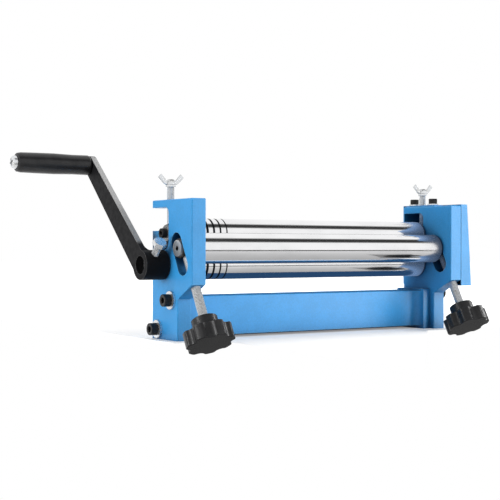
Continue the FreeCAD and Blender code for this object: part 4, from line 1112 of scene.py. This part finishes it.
class SLIPROLL_OT_stage(bpy.types.Operator):
    """Set up the camera, the softboxes, the reflection cards and the bench board"""

    bl_idname = "sliproll.stage"
    bl_label = "Set the studio"

    def execute(self, context):
        scene = context.scene
        studio = scene.sliproll_studio
        heading, tilt, roll = studio.camera_turn
        ahead = Vector(
            (math.sin(heading) * math.cos(tilt), math.cos(heading) * math.cos(tilt), -math.sin(tilt))
        )
        right = Vector((math.cos(heading), -math.sin(heading), 0.0))
        stand = Matrix((right, right.cross(ahead), -ahead)).transposed() @ Matrix.Rotation(roll, 3, "Z")
        camera = bpy.data.cameras.new("camera")
        camera.lens, camera.sensor_width = studio.lens, SENSOR_WIDTH
        camera.clip_start, camera.clip_end = 0.05, 50.0
        holder = bpy.data.objects.new("camera", camera)
        scene.collection.objects.link(holder)
        holder.matrix_world = Matrix.Translation(Vector(studio.camera_place)) @ stand.to_4x4()
        scene.camera = holder

        pale_world(studio.fill)
        for name, (place, aim, width, height, setting) in SOFTBOXES.items():
            softbox(name, place, aim, width, height, getattr(studio, setting))
        sheen_lamp("paint_sheen", *PAINT_SHEEN, studio.sheen_power, CASTINGS)
        for node, x in KNOBS.items():
            along = Vector((x, 0.0, 0.0))
            aim = along + Vector(KNOB_AIM)
            for ending, offset in KNOB_STRIPS.items():
                place = along + Vector(offset)
                sheen_lamp(node + ending, place, aim, *STRIP_SIZE, studio.knob_power, (node,))
        board = board_material(studio.board_white)
        sheet("bench_board", [(x, y, 0.0) for x, y in BOARD_OUTLINE], board)
        for name, (height, tones) in REFLECTED.items():
            near, far = tones[0][0], tones[-1][0]
            corner, deep = (CARD_START, near, height), (0.0, far - near, 0.0)
            material = glow(name + "_tone", tones)
            only_reflected(sheet_card(name, corner, (CARD_LENGTH, 0.0, 0.0), deep, material))
        ground = glow("reflected_ground_tone", GROUND_TONES)
        outline = [(x, y, GROUND_HEIGHT) for x, y in GROUND_OUTLINE]
        only_reflected(sheet("reflected_ground", outline, ground))
        shade = glow("reflected_shade_tone", BEAM_TONES, BEAM_TINT)
        only_reflected(sheet_card("reflected_beam", *BEAM_CARD, shade))
        plate = glow("reflected_plate_tone", PLATE_TONES, PLATE_TINT, "Z")
        only_reflected(sheet_card("reflected_plate", *PLATE_CARD, plate))
        scene.view_settings.view_transform = "Standard"
        return {"FINISHED"}


# ---------------------------------------------------------------- panel and run

STEPS = (
    SLIPROLL_OT_stage,
    SLIPROLL_OT_paint,
    SLIPROLL_OT_rolls,
    SLIPROLL_OT_bearings,
    SLIPROLL_OT_socket_screws,
    SLIPROLL_OT_wing_screws,
    SLIPROLL_OT_adjusters,
    SLIPROLL_OT_knobs,
    SLIPROLL_OT_crank,
)
SETTINGS = {
    "sliproll_paint": SLIPROLL_PG_paint,
    "sliproll_metal": SLIPROLL_PG_metal,
    "sliproll_turning": SLIPROLL_PG_turning,
    "sliproll_studio": SLIPROLL_PG_studio,
}


class SLIPROLL_PT_panel(bpy.types.Panel):
    """Settings and steps of the slip roll machine"""

    bl_idname = "SLIPROLL_PT_panel"
    bl_label = "Slip Roll"
    bl_space_type = "VIEW_3D"
    bl_region_type = "UI"
    bl_category = "Slip Roll"

    def draw(self, context):
        for name, group in SETTINGS.items():
            box = self.layout.box()
            for key in group.__annotations__:
                box.prop(getattr(context.scene, name), key)
        for step in STEPS:
            self.layout.operator(step.bl_idname)


CLASSES = (*SETTINGS.values(), *STEPS, SLIPROLL_PT_panel)


def register():
    for item in CLASSES:
        bpy.utils.register_class(item)
    for name, group in SETTINGS.items():
        setattr(bpy.types.Scene, name, PointerProperty(type=group))


def unregister():
    for name in SETTINGS:
        delattr(bpy.types.Scene, name)
    for item in reversed(CLASSES):
        bpy.utils.unregister_class(item)


def main():
    """Run every step."""
    register()
    for step in STEPS:
        group, name = step.bl_idname.split(".")
        getattr(getattr(bpy.ops, group), name)()


if __name__ == "__main__":
    main()
